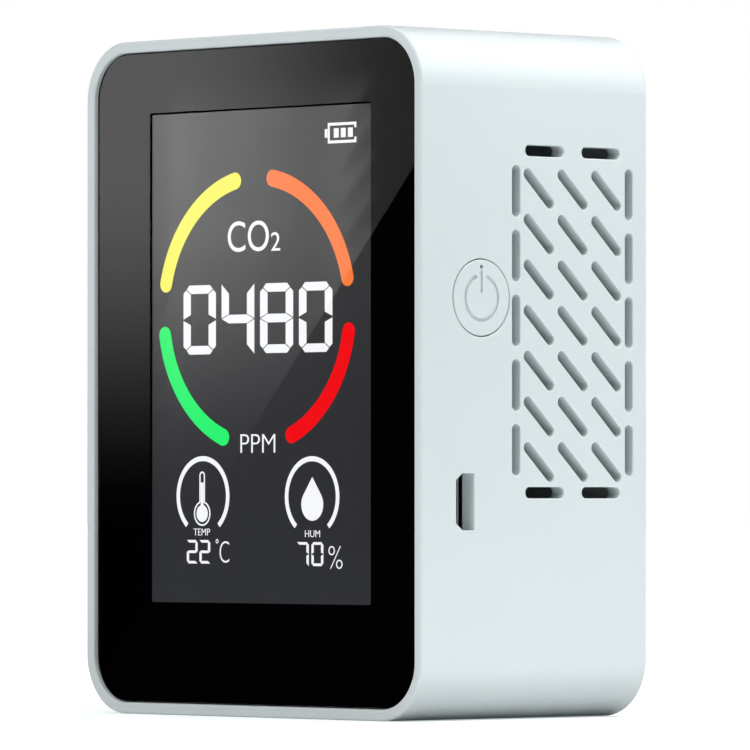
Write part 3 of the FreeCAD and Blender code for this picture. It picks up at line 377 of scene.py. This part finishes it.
def piece_from_mesh(name, mesh):
    """A new object in the scene that shows the mesh."""
    piece = bpy.data.objects.new(name, mesh)
    scene.collection.objects.link(piece)
    return piece


def thin_solids(name, outlines, colour, back=sign_back):
    """Closed flat solids from outlines of (x, z) points in millimetres, with their backs at the given y."""
    shape = bmesh.new()
    for outline in outlines:
        near = [shape.verts.new((x * MM, back - SIGN_THICK, z * MM)) for x, z in outline]
        far = [shape.verts.new((x * MM, back, z * MM)) for x, z in outline]
        shape.faces.new(near)
        shape.faces.new(far[::-1])
        for index in range(len(outline)):
            following = (index + 1) % len(outline)
            shape.faces.new((near[following], near[index], far[index], far[following]))
    bmesh.ops.recalc_face_normals(shape, faces=shape.faces)
    mesh = bpy.data.meshes.new(name)
    shape.to_mesh(mesh)
    shape.free()
    return keep_piece(piece_from_mesh(name, mesh), colour)


print("signs lie at y =", round(sign_front / MM, 3), "mm")

# %% [markdown]
# ## Gauge arcs with Geometry Nodes
# The big ring of four coloured arcs and the two small gauges are the same shape with other numbers: a bar
# bent round a circle, square or round at its ends. That is a rule, so a node tree makes it. The tree bends
# a rectangle along an arc curve, puts a short cylinder on each end when the ends are round, realizes the
# instances, and sets the material. Its sizes are inputs of the modifier.

# %% The gauge arc tree
ARC_POINTS = 64
CAP_CORNERS = 32


def gauge_arc_tree():
    tree = bpy.data.node_groups.new("gauge_arc", "GeometryNodeTree")
    for name in ("Radius", "Width", "Thickness", "Start", "Sweep", "Rounding"):
        tree.interface.new_socket(name, in_out="INPUT", socket_type="NodeSocketFloat")
    tree.interface.new_socket("Finish", in_out="INPUT", socket_type="NodeSocketMaterial")
    tree.interface.new_socket("Geometry", in_out="OUTPUT", socket_type="NodeSocketGeometry")
    nodes, links = tree.nodes, tree.links
    sizes = nodes.new("NodeGroupInput").outputs
    arc = nodes.new("GeometryNodeCurveArc")
    arc.mode = "RADIUS"
    arc.inputs["Resolution"].default_value = ARC_POINTS
    for size, socket in (("Radius", "Radius"), ("Start", "Start Angle"), ("Sweep", "Sweep Angle")):
        links.new(sizes[size], arc.inputs[socket])
    section = nodes.new("GeometryNodeCurvePrimitiveQuadrilateral")
    links.new(sizes["Width"], section.inputs["Width"])
    links.new(sizes["Thickness"], section.inputs["Height"])
    bar = nodes.new("GeometryNodeCurveToMesh")
    bar.inputs["Fill Caps"].default_value = True
    links.new(arc.outputs["Curve"], bar.inputs["Curve"])
    links.new(section.outputs["Curve"], bar.inputs["Profile Curve"])
    cap = nodes.new("GeometryNodeMeshCylinder")
    cap.inputs["Vertices"].default_value = CAP_CORNERS
    links.new(sizes["Rounding"], cap.inputs["Radius"])
    links.new(sizes["Thickness"], cap.inputs["Depth"])
    points = nodes.new("GeometryNodeCurveToPoints")
    points.mode = "EVALUATED"
    links.new(arc.outputs["Curve"], points.inputs["Curve"])
    stamp = nodes.new("GeometryNodeInstanceOnPoints")
    first_or_last = nodes.new("FunctionNodeBooleanMath")
    first_or_last.operation = "OR"
    index = nodes.new("GeometryNodeInputIndex").outputs["Index"]
    for choice, wanted in enumerate((0, ARC_POINTS - 1)):
        compare = nodes.new("FunctionNodeCompare")
        compare.data_type = "INT"
        compare.operation = "EQUAL"
        integers = [socket for socket in compare.inputs if socket.type == "INT"]
        links.new(index, integers[0])
        integers[1].default_value = wanted
        links.new(compare.outputs["Result"], first_or_last.inputs[choice])
    links.new(first_or_last.outputs["Boolean"], stamp.inputs["Selection"])
    links.new(points.outputs["Points"], stamp.inputs["Points"])
    links.new(cap.outputs["Mesh"], stamp.inputs["Instance"])
    join = nodes.new("GeometryNodeJoinGeometry")
    links.new(stamp.outputs["Instances"], join.inputs["Geometry"])
    links.new(bar.outputs["Mesh"], join.inputs["Geometry"])
    real = nodes.new("GeometryNodeRealizeInstances")
    links.new(join.outputs["Geometry"], real.inputs["Geometry"])
    paint = nodes.new("GeometryNodeSetMaterial")
    links.new(real.outputs["Geometry"], paint.inputs["Geometry"])
    links.new(sizes["Finish"], paint.inputs["Material"])
    out = nodes.new("NodeGroupOutput")
    links.new(paint.outputs["Geometry"], out.inputs["Geometry"])
    return tree


gauge_arc = gauge_arc_tree()
print("gauge arc tree:", len(gauge_arc.nodes), "nodes")

# %% [markdown]
# ## From node tree to finished piece
# An exported piece has to be a plain mesh. So the tree runs as a modifier on an empty carrier object, whose
# inputs are set by socket identifier; the result is copied into a new mesh and the carrier goes away. The
# mesh is then turned upright and moved to its place, and the object itself stays at the origin.

# %% Run the tree and keep its mesh
NO_ROUNDING = 0.01        # millimetres: square ends hide a cap this small inside the bar


def bake_tree(name, tree, inputs, place):
    """Runs a node tree on an empty mesh and keeps the result as a plain mesh, moved to its place."""
    carrier = piece_from_mesh(name + "_carrier", bpy.data.meshes.new(name + "_carrier"))
    modifier = carrier.modifiers.new("tree", "NODES")
    modifier.node_group = tree
    sockets = {item.name: item.identifier for item in tree.interface.items_tree if item.in_out == "INPUT"}
    for input_name, value in inputs.items():
        modifier[sockets[input_name]] = value
    evaluated = carrier.evaluated_get(bpy.context.evaluated_depsgraph_get())
    mesh = bpy.data.meshes.new_from_object(evaluated)
    mesh.name = name
    carrier.modifiers.remove(modifier)
    bpy.data.objects.remove(carrier)
    mesh.transform(place)
    return piece_from_mesh(name, mesh)


def arc_sign(name, centre, radius, stroke, start, sweep, colour, rounded, stretch=(1, 1)):
    """An arc seen from the front, its angles in degrees anticlockwise from +X."""
    inputs = {"Radius": radius * MM, "Width": stroke * MM, "Thickness": SIGN_THICK,
              "Start": math.radians(start), "Sweep": math.radians(sweep),
              "Rounding": (stroke / 2 if rounded else NO_ROUNDING) * MM, "Finish": segment_finishes[colour]}
    middle = Vector((centre[0] * MM, (sign_front + sign_back) / 2, centre[1] * MM))
    place = (Matrix.Translation(middle) @ Matrix.Diagonal((stretch[0], 1, stretch[1], 1))
             @ Matrix.Rotation(math.radians(90), 4, "X"))
    return keep_piece(bake_tree(name, gauge_arc, inputs, place), colour)


print("arcs have", ARC_POINTS, "points and caps", CAP_CORNERS, "corners")

# %% [markdown]
# ## The gas ring
# Four arcs share a circle round the reading and run from green through yellow and orange to red. Their
# round ends reach past their straight part by half the stroke, so that much angle comes off each end. The
# ring is a touch wider than it is high.

# %% Draw the gas ring
RING_CENTRE = (-0.9, 54.7)
RING_RADIUS = 18.4
RING_STROKE = 2.34
RING_STRETCH = (1.027, 0.985)
RING_ARCS = {"display_orange": (9.6, 83.3), "display_yellow": (99.2, 170.9), "display_green": (185.8, 253.1),
             "display_red": (288.9, 354.2)}
cap_angle = math.degrees(RING_STROKE / 2 / RING_RADIUS)
for colour, (first, last) in RING_ARCS.items():
    arc = arc_sign("ring_" + colour.split("_")[1], RING_CENTRE, RING_RADIUS, RING_STROKE, first + cap_angle,
                   last - first - 2 * cap_angle, colour, rounded=True, stretch=RING_STRETCH)
    print(arc.name, "from", first, "to", last, "degrees")

# %% [markdown]
# ## Seven-segment figures
# Each figure is made of up to seven bars with mitred ends, a hair apart. Only three shapes are needed: a
# flat bar, an upright bar and the middle bar. The others are the same shapes mirrored. Where two lit bars
# meet at an outer corner, the corner is cut off; where a bar stands alone, it keeps its long point.

# %% The three bars of a figure
LIT_BARS = {"0": "abcdef", "2": "abged", "4": "fgbc", "7": "abc", "8": "abcdefg"}
NEIGHBOURS = {("a", "left"): "f", ("a", "right"): "b", ("d", "left"): "e", ("d", "right"): "c",
              ("b", "end"): "a", ("f", "end"): "a", ("c", "end"): "d", ("e", "end"): "d"}


def flat_bar(half, rise, flat, upright, cut, gap, cut_left, cut_right):
    """The top bar, seen from the figure's middle; a corner is cut off where the next bar is lit too."""
    points = []
    for side, is_cut in ((-1, cut_left), (1, cut_right)):
        corner = [(side * (half - upright - gap), rise - flat)]
        if is_cut:
            corner += [(side * (half - cut / 2 - gap), rise - cut / 2), (side * (half - cut - gap), rise)]
        else:
            corner += [(side * (half - gap), rise)]
        points += corner if side < 0 else corner[::-1]
    return points


def upright_bar(half, rise, flat, upright, cut, gap, is_cut):
    """The upper right bar, with its lower end slanted to meet the middle bar's point."""
    points = [(half - upright, flat / 2 + gap), (half, gap)]
    if is_cut:
        points += [(half, rise - cut), (half - cut / 2, rise - cut / 2 - gap)]
    else:
        points += [(half, rise)]
    return points + [(half - upright, rise - flat - gap)]


def middle_bar(half, flat, upright, gap):
    """The bar across the middle, pointed at both ends."""
    return [(-half + gap, 0), (-half + upright, -flat / 2), (half - upright, -flat / 2), (half - gap, 0),
            (half - upright, flat / 2), (-half + upright, flat / 2)]


print("bars that light up:", LIT_BARS)

# %% [markdown]
# ## The readings
# A figure's outlines come from the bars that it lights, mirrored to the left and to the bottom where they
# belong. A whole reading is one piece, because its bars sit on one glass and light up together. The gas
# reading is large, and the other two share one small size.

# %% Draw the readings
def figure_outlines(figure, left, low, wide, high, flat, upright, cut, gap):
    lit = LIT_BARS[figure]
    half, rise = wide / 2, high / 2
    outlines = []
    for bar in lit:
        flip_x, flip_z = (-1 if bar in "ef" else 1), (-1 if bar in "cde" else 1)
        if bar == "g":
            points = middle_bar(half, flat, upright, gap)
        elif bar in "ad":
            points = flat_bar(half, rise, flat, upright, cut, gap, NEIGHBOURS[bar, "left"] in lit,
                              NEIGHBOURS[bar, "right"] in lit)
        else:
            points = upright_bar(half, rise, flat, upright, cut, gap, NEIGHBOURS[bar, "end"] in lit)
        outlines.append([(left + half + flip_x * x, low + rise + flip_z * z) for x, z in points])
    return outlines


def reading(name, figures, lefts, low, wide, bars):
    """Figures side by side, each with its left edge at one of the given places."""
    outlines = []
    for figure, left in zip(figures, lefts):
        outlines += figure_outlines(figure, left, low, wide, **bars)
    thin_solids(name, outlines, "display_white")
    print(name, figures, "has", len(outlines), "bars")


LARGE_BARS = {"high": 9.4, "flat": 1.16, "upright": 1.48, "cut": 1.1, "gap": 0.11}
SMALL_BARS = {"high": 3.2, "flat": 0.36, "upright": 0.44, "cut": 0.35, "gap": 0.04}
reading("gas_reading", "0480", lefts=(-15.7, -7.85, 0, 7.85), low=49.0, wide=6.65, bars=LARGE_BARS)
reading("temperature_reading", "22", lefts=(-15.0, -12.4), low=20.6, wide=2.2, bars=SMALL_BARS)
reading("humidity_reading", "70", lefts=(7.45, 10.35), low=20.4, wide=2.35, bars=SMALL_BARS)

# %% [markdown]
# ## Words and units
# The words are plain capitals. Text objects give clean letter shapes; each is turned into a mesh, scaled to
# the width and cap height it needs, and stood up against the film before it counts as finished. A negative
# weight thins the strokes, as on the real display, where small words are finer than the reading.

# %% Write the words
def word(name, text, left, right, low, high, weight=0.0):
    """Text as a thin solid that fills the box from left to right and low to high, in millimetres."""
    letters = bpy.data.curves.new(name, "FONT")
    letters.body = text
    letters.offset = weight
    letters.extrude = 0.5
    letters.resolution_u = 6
    carrier = bpy.data.objects.new(name + "_carrier", letters)
    scene.collection.objects.link(carrier)
    bpy.context.view_layer.update()
    mesh = bpy.data.meshes.new_from_object(carrier.evaluated_get(bpy.context.evaluated_depsgraph_get()))
    bpy.data.objects.remove(carrier)
    corners = [vertex.co for vertex in mesh.vertices]
    x0, x1 = min(c.x for c in corners), max(c.x for c in corners)
    y0, y1 = min(c.y for c in corners), max(c.y for c in corners)
    scale_x, scale_y = (right - left) * MM / (x1 - x0), (high - low) * MM / (y1 - y0)
    for vertex in mesh.vertices:
        x, y, z = vertex.co
        vertex.co = (left * MM + (x - x0) * scale_x, sign_front if z > 0 else sign_back,
                     low * MM + (y - y0) * scale_y)
    mesh.name = name
    keep_piece(piece_from_mesh(name, mesh), "display_white")
    print(name, "is", round(right - left, 2), "mm wide")


word("gas_name", "CO", -6.6, 1.75, 62.75, 66.9)
word("gas_name_index", "2", 2.2, 4.05, 62.75, 65.25)
word("gas_unit", "PPM", -4.0, 3.05, 35.6, 38.1, weight=-0.014)
word("temperature_name", "TEMP", -13.6, -10.25, 24.42, 25.35, weight=-0.008)
word("humidity_name", "HUM", 9.05, 12.05, 24.25, 25.18, weight=-0.008)
word("degree_mark", "°", -9.05, -8.5, 23.35, 23.95)
word("celsius_mark", "C", -8.25, -6.3, 20.75, 23.65, weight=-0.018)
word("percent_mark", "%", 13.75, 16.5, 20.05, 23.1, weight=-0.018)

# %% [markdown]
# ## The two small gauges
# Temperature and humidity each have an open ring with a sign in it. The rings come from the same node tree
# as the gas ring, with square ends and an opening at the bottom.

# %% Draw the small gauges
GAUGE_RADIUS = 5.1
GAUGE_STROKE = 0.68
GAUGE_OPEN = 39.5
GAUGE_CENTRES = {"temperature_gauge": (-11.7, 29.75), "humidity_gauge": (10.45, 29.65)}
for gauge_name, gauge_centre in GAUGE_CENTRES.items():
    arc_sign(gauge_name, gauge_centre, GAUGE_RADIUS, GAUGE_STROKE, -90 + GAUGE_OPEN, 360 - 2 * GAUGE_OPEN,
             "display_white", rounded=False)
print("gauges open by", 2 * GAUGE_OPEN, "degrees")

# %% [markdown]
# ## The drop
# The sign for humidity. Its round bottom is an arc, and its straight sides are the tangents from the tip,
# so the angle at which they leave the arc follows from the drop's height and width.

# %% Draw the drop
def circle_points(centre, radius, first, last, count):
    """Points along a circle, from the first to the last angle in degrees."""
    return [(centre[0] + radius * math.cos(math.radians(first + (last - first) * step / (count - 1))),
             centre[1] + radius * math.sin(math.radians(first + (last - first) * step / (count - 1))))
            for step in range(count)]


def drop_outline(tip, bottom, half_wide):
    """A drop: a round bottom whose sides run straight to the tip."""
    centre = (tip[0], bottom + half_wide)
    lean = math.degrees(math.asin(half_wide / (tip[1] - centre[1])))
    return [tip] + circle_points(centre, half_wide, 180 - lean, 360 + lean, 32)


drop = thin_solids("drop_sign", [drop_outline(tip=(10.5, 32.3), bottom=26.45, half_wide=2.18)], "display_white")
print("drop height in mm:", round(drop.dimensions.z / MM, 2))

# %% [markdown]
# ## The thermometer
# The sign for temperature: the outline of a glass with a filled thread and bulb inside. The glass is a
# ribbon of even width along a line that runs round the bulb and up and down the stem. The filling is an
# outline of its own.

# %% Draw the thermometer
def ribbon(points, wide):
    """A strip of even width along an open line of points."""
    line = [Vector(point) for point in points]
    sides = []
    for index, point in enumerate(line):
        before, after = line[max(index - 1, 0)], line[min(index + 1, len(line) - 1)]
        along = (after - before).normalized()
        sides.append((point, Vector((along.y, -along.x)) * wide / 2))
    return [tuple(p + s) for p, s in sides] + [tuple(p - s) for p, s in reversed(sides)]


def thermometer_line(x, bulb_low, bulb_radius, stem_half, stem_top):
    """The middle line of the glass: round the bulb, up one side, over the top and down the other."""
    centre = (x, bulb_low + bulb_radius)
    opening = math.degrees(math.acos(stem_half / bulb_radius))
    bulb = circle_points(centre, bulb_radius, 180 - opening, 360 + opening, 40)
    return bulb + circle_points((x, stem_top - stem_half), stem_half, 0, 180, 12) + bulb[:1]


GLASS_LINE = 0.22
STEM_X, BULB_LOW, BULB_RADIUS, STEM_HALF, STEM_TOP = -11.85, 25.82, 1.58, 0.45, 33.0
THREAD_HALF, THREAD_TOP, POOL_RADIUS = 0.28, 31.6, 1.15
glass_line = thermometer_line(STEM_X, BULB_LOW, BULB_RADIUS, STEM_HALF, STEM_TOP)
pool_opening = math.degrees(math.asin(THREAD_HALF / POOL_RADIUS))
pool = circle_points((STEM_X, BULB_LOW + BULB_RADIUS), POOL_RADIUS, 90 + pool_opening, 450 - pool_opening, 32)
mercury = pool + [(STEM_X + THREAD_HALF, THREAD_TOP), (STEM_X - THREAD_HALF, THREAD_TOP)]
thermometer = thin_solids("thermometer_sign", [ribbon(glass_line, GLASS_LINE), mercury], "display_white")
print("thermometer height in mm:", round(thermometer.dimensions.z / MM, 2))

# %% [markdown]
# ## The battery
# The charge sign is a frame that is open at its right end, with a nub at the left and three bars inside.
# Plain rectangles laid edge to edge make it, so no two of them overlap.

# %% Draw the battery
def rectangle(left, right, low, high):
    return [(left, low), (right, low), (right, high), (left, high)]


BATTERY_LEFT, BATTERY_RIGHT, BATTERY_LOW, BATTERY_HIGH, BATTERY_LINE = 13.6, 19.25, 76.8, 79.55, 0.38
BATTERY_HOOK = 0.75
NUB_START, NUB_END, NUB_INSET = 0.6, 0.08, 0.8
BAR_START, BAR_PITCH, BAR_WIDE, BAR_INSET, BARS = 1.2, 1.4, 0.95, 0.75, 3
battery_outlines = [
    rectangle(BATTERY_LEFT, BATTERY_LEFT + BATTERY_LINE, BATTERY_LOW, BATTERY_HIGH),
    rectangle(BATTERY_LEFT + BATTERY_LINE, BATTERY_RIGHT, BATTERY_LOW, BATTERY_LOW + BATTERY_LINE),
    rectangle(BATTERY_LEFT + BATTERY_LINE, BATTERY_RIGHT, BATTERY_HIGH - BATTERY_LINE, BATTERY_HIGH),
    rectangle(BATTERY_RIGHT - BATTERY_LINE, BATTERY_RIGHT, BATTERY_LOW + BATTERY_LINE,
              BATTERY_LOW + BATTERY_HOOK),
    rectangle(BATTERY_RIGHT - BATTERY_LINE, BATTERY_RIGHT, BATTERY_HIGH - BATTERY_HOOK,
              BATTERY_HIGH - BATTERY_LINE),
    rectangle(BATTERY_LEFT - NUB_START, BATTERY_LEFT - NUB_END, BATTERY_LOW + NUB_INSET,
              BATTERY_HIGH - NUB_INSET),
]
for bar in range(BARS):
    bar_left = BATTERY_LEFT + BAR_START + BAR_PITCH * bar
    battery_outlines.append(rectangle(bar_left, bar_left + BAR_WIDE, BATTERY_LOW + BAR_INSET,
                                      BATTERY_HIGH - BAR_INSET))
thin_solids("battery_sign", battery_outlines, "display_white")
print("battery sign:", len(battery_outlines), "rectangles")

# %% [markdown]
# ## The painted shade line
# A fine black line along the window's top and left edges is painted shade: it stands for the shadow of a
# step at those edges. It lies on the outside of the lens, a hair above its surface, and isn't mirrored, so
# it stays black even where the lens mirrors something bright.

# %% Paint the shade line
PAINTED_SHADE_LEFT, PAINTED_SHADE_RIGHT, PAINTED_SHADE_LOW, PAINTED_SHADE_HIGH = -21.27, 23.35, 15.3, 82.05
PAINTED_SHADE_SIDE, PAINTED_SHADE_TOP = 0.42, 0.26
PAINTED_SHADE_LIFT = 0.004 * MM
# Painted shade: a black strip that stands for the shadow at the window's top and left edges.
painted_shade_line = thin_solids("window_painted_shade", [
    rectangle(PAINTED_SHADE_LEFT, PAINTED_SHADE_LEFT + PAINTED_SHADE_SIDE, PAINTED_SHADE_LOW, PAINTED_SHADE_HIGH),
    rectangle(PAINTED_SHADE_LEFT + PAINTED_SHADE_SIDE, PAINTED_SHADE_RIGHT, PAINTED_SHADE_HIGH - PAINTED_SHADE_TOP, PAINTED_SHADE_HIGH)],
    "black_print", back=lens_front - PAINTED_SHADE_LIFT)
painted_shade_line.visible_glossy = False
print("keyline in mm:", PAINTED_SHADE_SIDE, "at the side and", PAINTED_SHADE_TOP, "at the top")

# %% [markdown]
# ## The floor
# A pale floor runs under the case. The glossy front would mirror all of it, so only a table round the case
# can be seen in mirrors, and its part under the display stays dull. Its right part glows like a light table
# and lifts the case's lower rounding. The three parts are flat quads that meet edge to edge, each with its
# own glow.

# %% Lay the floor
FLOOR_REACH = 6.0
TABLE_LEFT, TABLE_RIGHT, TABLE_FRONT, TABLE_BACK = -0.1, 0.16, -0.05, 0.2
GLOW_START = 0.039
FLOOR_TONE, FLOOR_TINT = (0.78, 0.78, 0.78), (0.9, 1, 1)
FLOOR_GLOW, TABLE_GLOW, LIGHT_TABLE_GLOW, CAMERA_GLOW = 0.25, 0.03, 0.95, 0.45


def floor_finish(name, glow):
    """Pale matt floor; the camera sees it a little brighter, so it melts into the white room."""
    material = finish(name, FLOOR_TONE, roughness=0.9, grain=2 * MM, specular=0.0)
    nodes, links = material.node_tree.nodes, material.node_tree.links
    shader = nodes["Principled BSDF"]
    shader.inputs["Emission Color"].default_value = (*FLOOR_TINT, 1)
    seen = nodes.new("ShaderNodeLightPath").outputs["Is Camera Ray"]
    total = calculate(nodes, links, "MULTIPLY_ADD", seen, CAMERA_GLOW, glow)
    links.new(total, shader.inputs["Emission Strength"])
    return material


def floor_quads(name, glow, quads):
    """One piece of floor from (left, right, front, back) quads."""
    mesh = bpy.data.meshes.new(name)
    corners = [(x, y, 0) for left, right, front, back in quads
               for x, y in ((left, front), (right, front), (right, back), (left, back))]
    mesh.from_pydata(corners, [], [tuple(range(4 * index, 4 * index + 4)) for index in range(len(quads))])
    mesh.materials.append(floor_finish(name, glow))
    piece = piece_from_mesh(name, mesh)
    return piece


floor_quads("table", TABLE_GLOW, [(TABLE_LEFT, GLOW_START, TABLE_FRONT, TABLE_BACK)])
floor_quads("light_table", LIGHT_TABLE_GLOW, [(GLOW_START, TABLE_RIGHT, TABLE_FRONT, TABLE_BACK)])
floor = floor_quads("floor", FLOOR_GLOW, [(-FLOOR_REACH, TABLE_LEFT, -FLOOR_REACH, FLOOR_REACH),
                                          (TABLE_RIGHT, FLOOR_REACH, -FLOOR_REACH, FLOOR_REACH),
                                          (TABLE_LEFT, TABLE_RIGHT, -FLOOR_REACH, TABLE_FRONT),
                                          (TABLE_LEFT, TABLE_RIGHT, TABLE_BACK, FLOOR_REACH)])
floor.visible_glossy = False
print("floor in metres:", 2 * FLOOR_REACH, "square, with a table of", round(TABLE_RIGHT - TABLE_LEFT, 2), "by",
      round(TABLE_BACK - TABLE_FRONT, 2))

# %% [markdown]
# ## The light tent
# A white room surrounds the case, as in a light tent. To the camera it is plain white. As light it comes
# mostly from above. In mirrors it is almost black, because the lens would show it, except for its upper
# back: there it gives the top and the side of the case their soft shine. The world's shader asks what kind
# of ray it meets.

# %% Pitch the tent
TENT_TOP = 1.5
TENT_SIDE = 0.03
TENT_MIRRORED = 0.008
TENT_MIRRORED_BACK = 0.3
TENT_MIRRORED_TOP = 10.5
TENT_MIRRORED_LEFT = 0.5


def tent_world():
    world = bpy.data.worlds.new("light_tent")
    world.use_nodes = True
    nodes, links = world.node_tree.nodes, world.node_tree.links
    nodes.clear()
    direction = nodes.new("ShaderNodeSeparateXYZ")
    links.new(nodes.new("ShaderNodeTexCoord").outputs["Generated"], direction.inputs["Vector"])
    above = calculate(nodes, links, "MULTIPLY", direction.outputs["Z"], direction.outputs["Z"])
    above = calculate(nodes, links, "MULTIPLY", above, TENT_TOP)
    side = calculate(nodes, links, "MAXIMUM", direction.outputs["X"], 0.0)
    lit = calculate(nodes, links, "MULTIPLY_ADD", side, TENT_SIDE, above)
    path = nodes.new("ShaderNodeLightPath")
    unseen = calculate(nodes, links, "MULTIPLY_ADD", path.outputs["Is Glossy Ray"], -1.0, 1.0)
    lit = calculate(nodes, links, "MULTIPLY", lit, unseen)
    behind = calculate(nodes, links, "MAXIMUM", direction.outputs["Y"], 0.0)
    upper = calculate(nodes, links, "MAXIMUM", direction.outputs["Z"], 0.0)
    mirrored = calculate(nodes, links, "MULTIPLY_ADD", upper, TENT_MIRRORED_TOP, TENT_MIRRORED_BACK)
    right = calculate(nodes, links, "ADD", direction.outputs["X"], TENT_MIRRORED_LEFT)
    behind = calculate(nodes, links, "MULTIPLY", behind, calculate(nodes, links, "MAXIMUM", right, 0.0))
    mirrored = calculate(nodes, links, "MULTIPLY_ADD", mirrored, behind, TENT_MIRRORED)
    lit = calculate(nodes, links, "MULTIPLY_ADD", path.outputs["Is Glossy Ray"], mirrored, lit)
    strength = calculate(nodes, links, "MAXIMUM", lit, path.outputs["Is Camera Ray"])
    tent = nodes.new("ShaderNodeBackground")
    tent.inputs["Color"].default_value = (1, 1, 1, 1)
    links.new(strength, tent.inputs["Strength"])
    links.new(tent.outputs["Background"], nodes.new("ShaderNodeOutputWorld").inputs["Surface"])
    return world


scene.world = tent_world()
print("tent:", len(scene.world.node_tree.nodes), "nodes")

# %% [markdown]
# ## Three soft panels
# A panel far in front lights the front rim. A key panel high on the right shapes the rounded
# edges. A small panel near the vent, above it, lights the side from the top down, and makes the slots'
# lower ends stand out. None shows in mirrors, so the lens and the satin plastic have no square highlights.

# %% Hang the panels
def soft_panel(name, place, size, power):
    """A square area light that faces the middle of the case and hides from mirrors."""
    light = bpy.data.lights.new(name, "AREA")
    light.shape = "SQUARE"
    light.size = size
    light.energy = power
    lamp = bpy.data.objects.new(name, light)
    scene.collection.objects.link(lamp)
    away = Vector(place) - case_middle
    lamp.matrix_world = Matrix.Translation(place) @ away.to_track_quat("Z", "Y").to_matrix().to_4x4()
    lamp.visible_glossy = False
    print(name, "with", power, "W at", round(away.length, 2), "m")


soft_panel("panel_key", place=(0.45, -0.3, 1.2), size=0.25, power=1.2)
soft_panel("panel_front", place=(0.15, -1.25, 0.3), size=0.3, power=4.8)
soft_panel("panel_near", place=(0.105, 0.02, 0.2), size=0.1, power=0.13)

# %% [markdown]
# ## The sheen card
# A clean diagonal sheen on glass comes from one white card with a slanted edge. A mirror ray from the
# camera off the lens heads out to the front left, and the card is built by following such rays for a grid
# of points on the lens. So its edge lands just where it should on the glass.

# %% Shape the sheen card
CARD_REACH = 1.2
CARD_LEFT, CARD_TOP, CARD_LOW = -60, 112, -10
CARD_ROWS, CARD_COLUMNS = 24, 96
EDGE_HIGH, EDGE_LOW = (32, 73.4), (-2, 36.75)


def mirrored_to_card(x, z):
    """Where the card meets the mirror ray that leaves the lens at x, z, in millimetres of the front."""
    on_lens = Vector((x * MM, lens_front, z * MM))
    mirror_eye = Vector((camera_place.x, 2 * lens_front - camera_place.y, camera_place.z))
    return on_lens + (on_lens - mirror_eye) * CARD_REACH


def card_spots():
    """A grid of lens points, in rows from the card's left edge to its slanted one."""
    slope = (EDGE_HIGH[1] - EDGE_LOW[1]) / (EDGE_HIGH[0] - EDGE_LOW[0])
    spots = []
    for row in range(CARD_ROWS + 1):
        z = CARD_LOW + (CARD_TOP - CARD_LOW) * row / CARD_ROWS
        edge = max(EDGE_LOW[0] + (z - EDGE_LOW[1]) / slope, CARD_LEFT + 1)
        spots += [(CARD_LEFT + (edge - CARD_LEFT) * column / CARD_COLUMNS, z)
                  for column in range(CARD_COLUMNS + 1)]
    return spots


card_middle = mirrored_to_card((EDGE_HIGH[0] + CARD_LEFT) / 2, (CARD_TOP + CARD_LOW) / 2)
print("card's middle in metres:", [round(place, 2) for place in card_middle])

# %% [markdown]
# ## The card's light
# A real card is lit unevenly, and so is this one: it fades to the right and towards the bottom, and is a
# little brighter behind the window, where the display's own glass adds its shine. A number on each vertex
# holds the brightness, and an emission shader reads it. The card is seen in mirrors only, and lights
# nothing else.

# %% Hang the sheen card
CARD_POWER = 2.2
FADE_RIGHT = 0.8
WINDOW_EXTRA, LEFT_EXTRA, EDGE_EXTRA = 0.15, 0.12, 0.24


def ease(value, low, high):
    """Goes smoothly from 0 at low to 1 at high."""
    part = min(1, max(0, (value - low) / (high - low)))
    return part * part * (3 - 2 * part)


def card_glow(x, z):
    over_all = (1 - FADE_RIGHT * ease(x, -20, 32)) * ease(z, 24, 76) ** 1.5
    over_window = ease(x, -18, -17) * (1 - ease(x, 19.5, 21.5)) * (1 - ease(z, 81.5, 83))
    left_side = (1 - ease(x, -17, -8)) * ease(z, 30, 58)
    near_edge = ease(x, 10, 19) * ease(z, 44, 56) * (1 - ease(z, 76, 90))
    extra = WINDOW_EXTRA * ease(z, 34, 62) + LEFT_EXTRA * left_side + EDGE_EXTRA * near_edge
    return over_all + over_window * extra


def sheen_card():
    spots = card_spots()
    per_row = CARD_COLUMNS + 1
    quads = [(corner, corner + 1, corner + per_row + 1, corner + per_row)
             for row in range(CARD_ROWS) for corner in range(row * per_row, (row + 1) * per_row - 1)]
    mesh = bpy.data.meshes.new("sheen_card")
    mesh.from_pydata([tuple(mirrored_to_card(x, z)) for x, z in spots], [], quads)
    glow = mesh.attributes.new("glow", "FLOAT", "POINT")
    glow.data.foreach_set("value", [CARD_POWER * card_glow(x, z) for x, z in spots])
    material = bpy.data.materials.new("sheen_card")
    material.use_nodes = True
    nodes, links = material.node_tree.nodes, material.node_tree.links
    nodes.remove(nodes["Principled BSDF"])
    light = nodes.new("ShaderNodeEmission")
    level = nodes.new("ShaderNodeAttribute")
    level.attribute_name = "glow"
    links.new(level.outputs["Fac"], light.inputs["Strength"])
    links.new(light.outputs["Emission"], nodes["Material Output"].inputs["Surface"])
    mesh.materials.append(material)
    card = piece_from_mesh("sheen_card", mesh)
    card.visible_camera = False
    card.visible_diffuse = False
    card.visible_shadow = False
    print("sheen card:", len(spots), "points")


sheen_card()

# %% [markdown]
# ## The end
# The picture keeps its colours as they are lit, without a film curve.

# %% Finish
scene.view_settings.view_transform = "Standard"
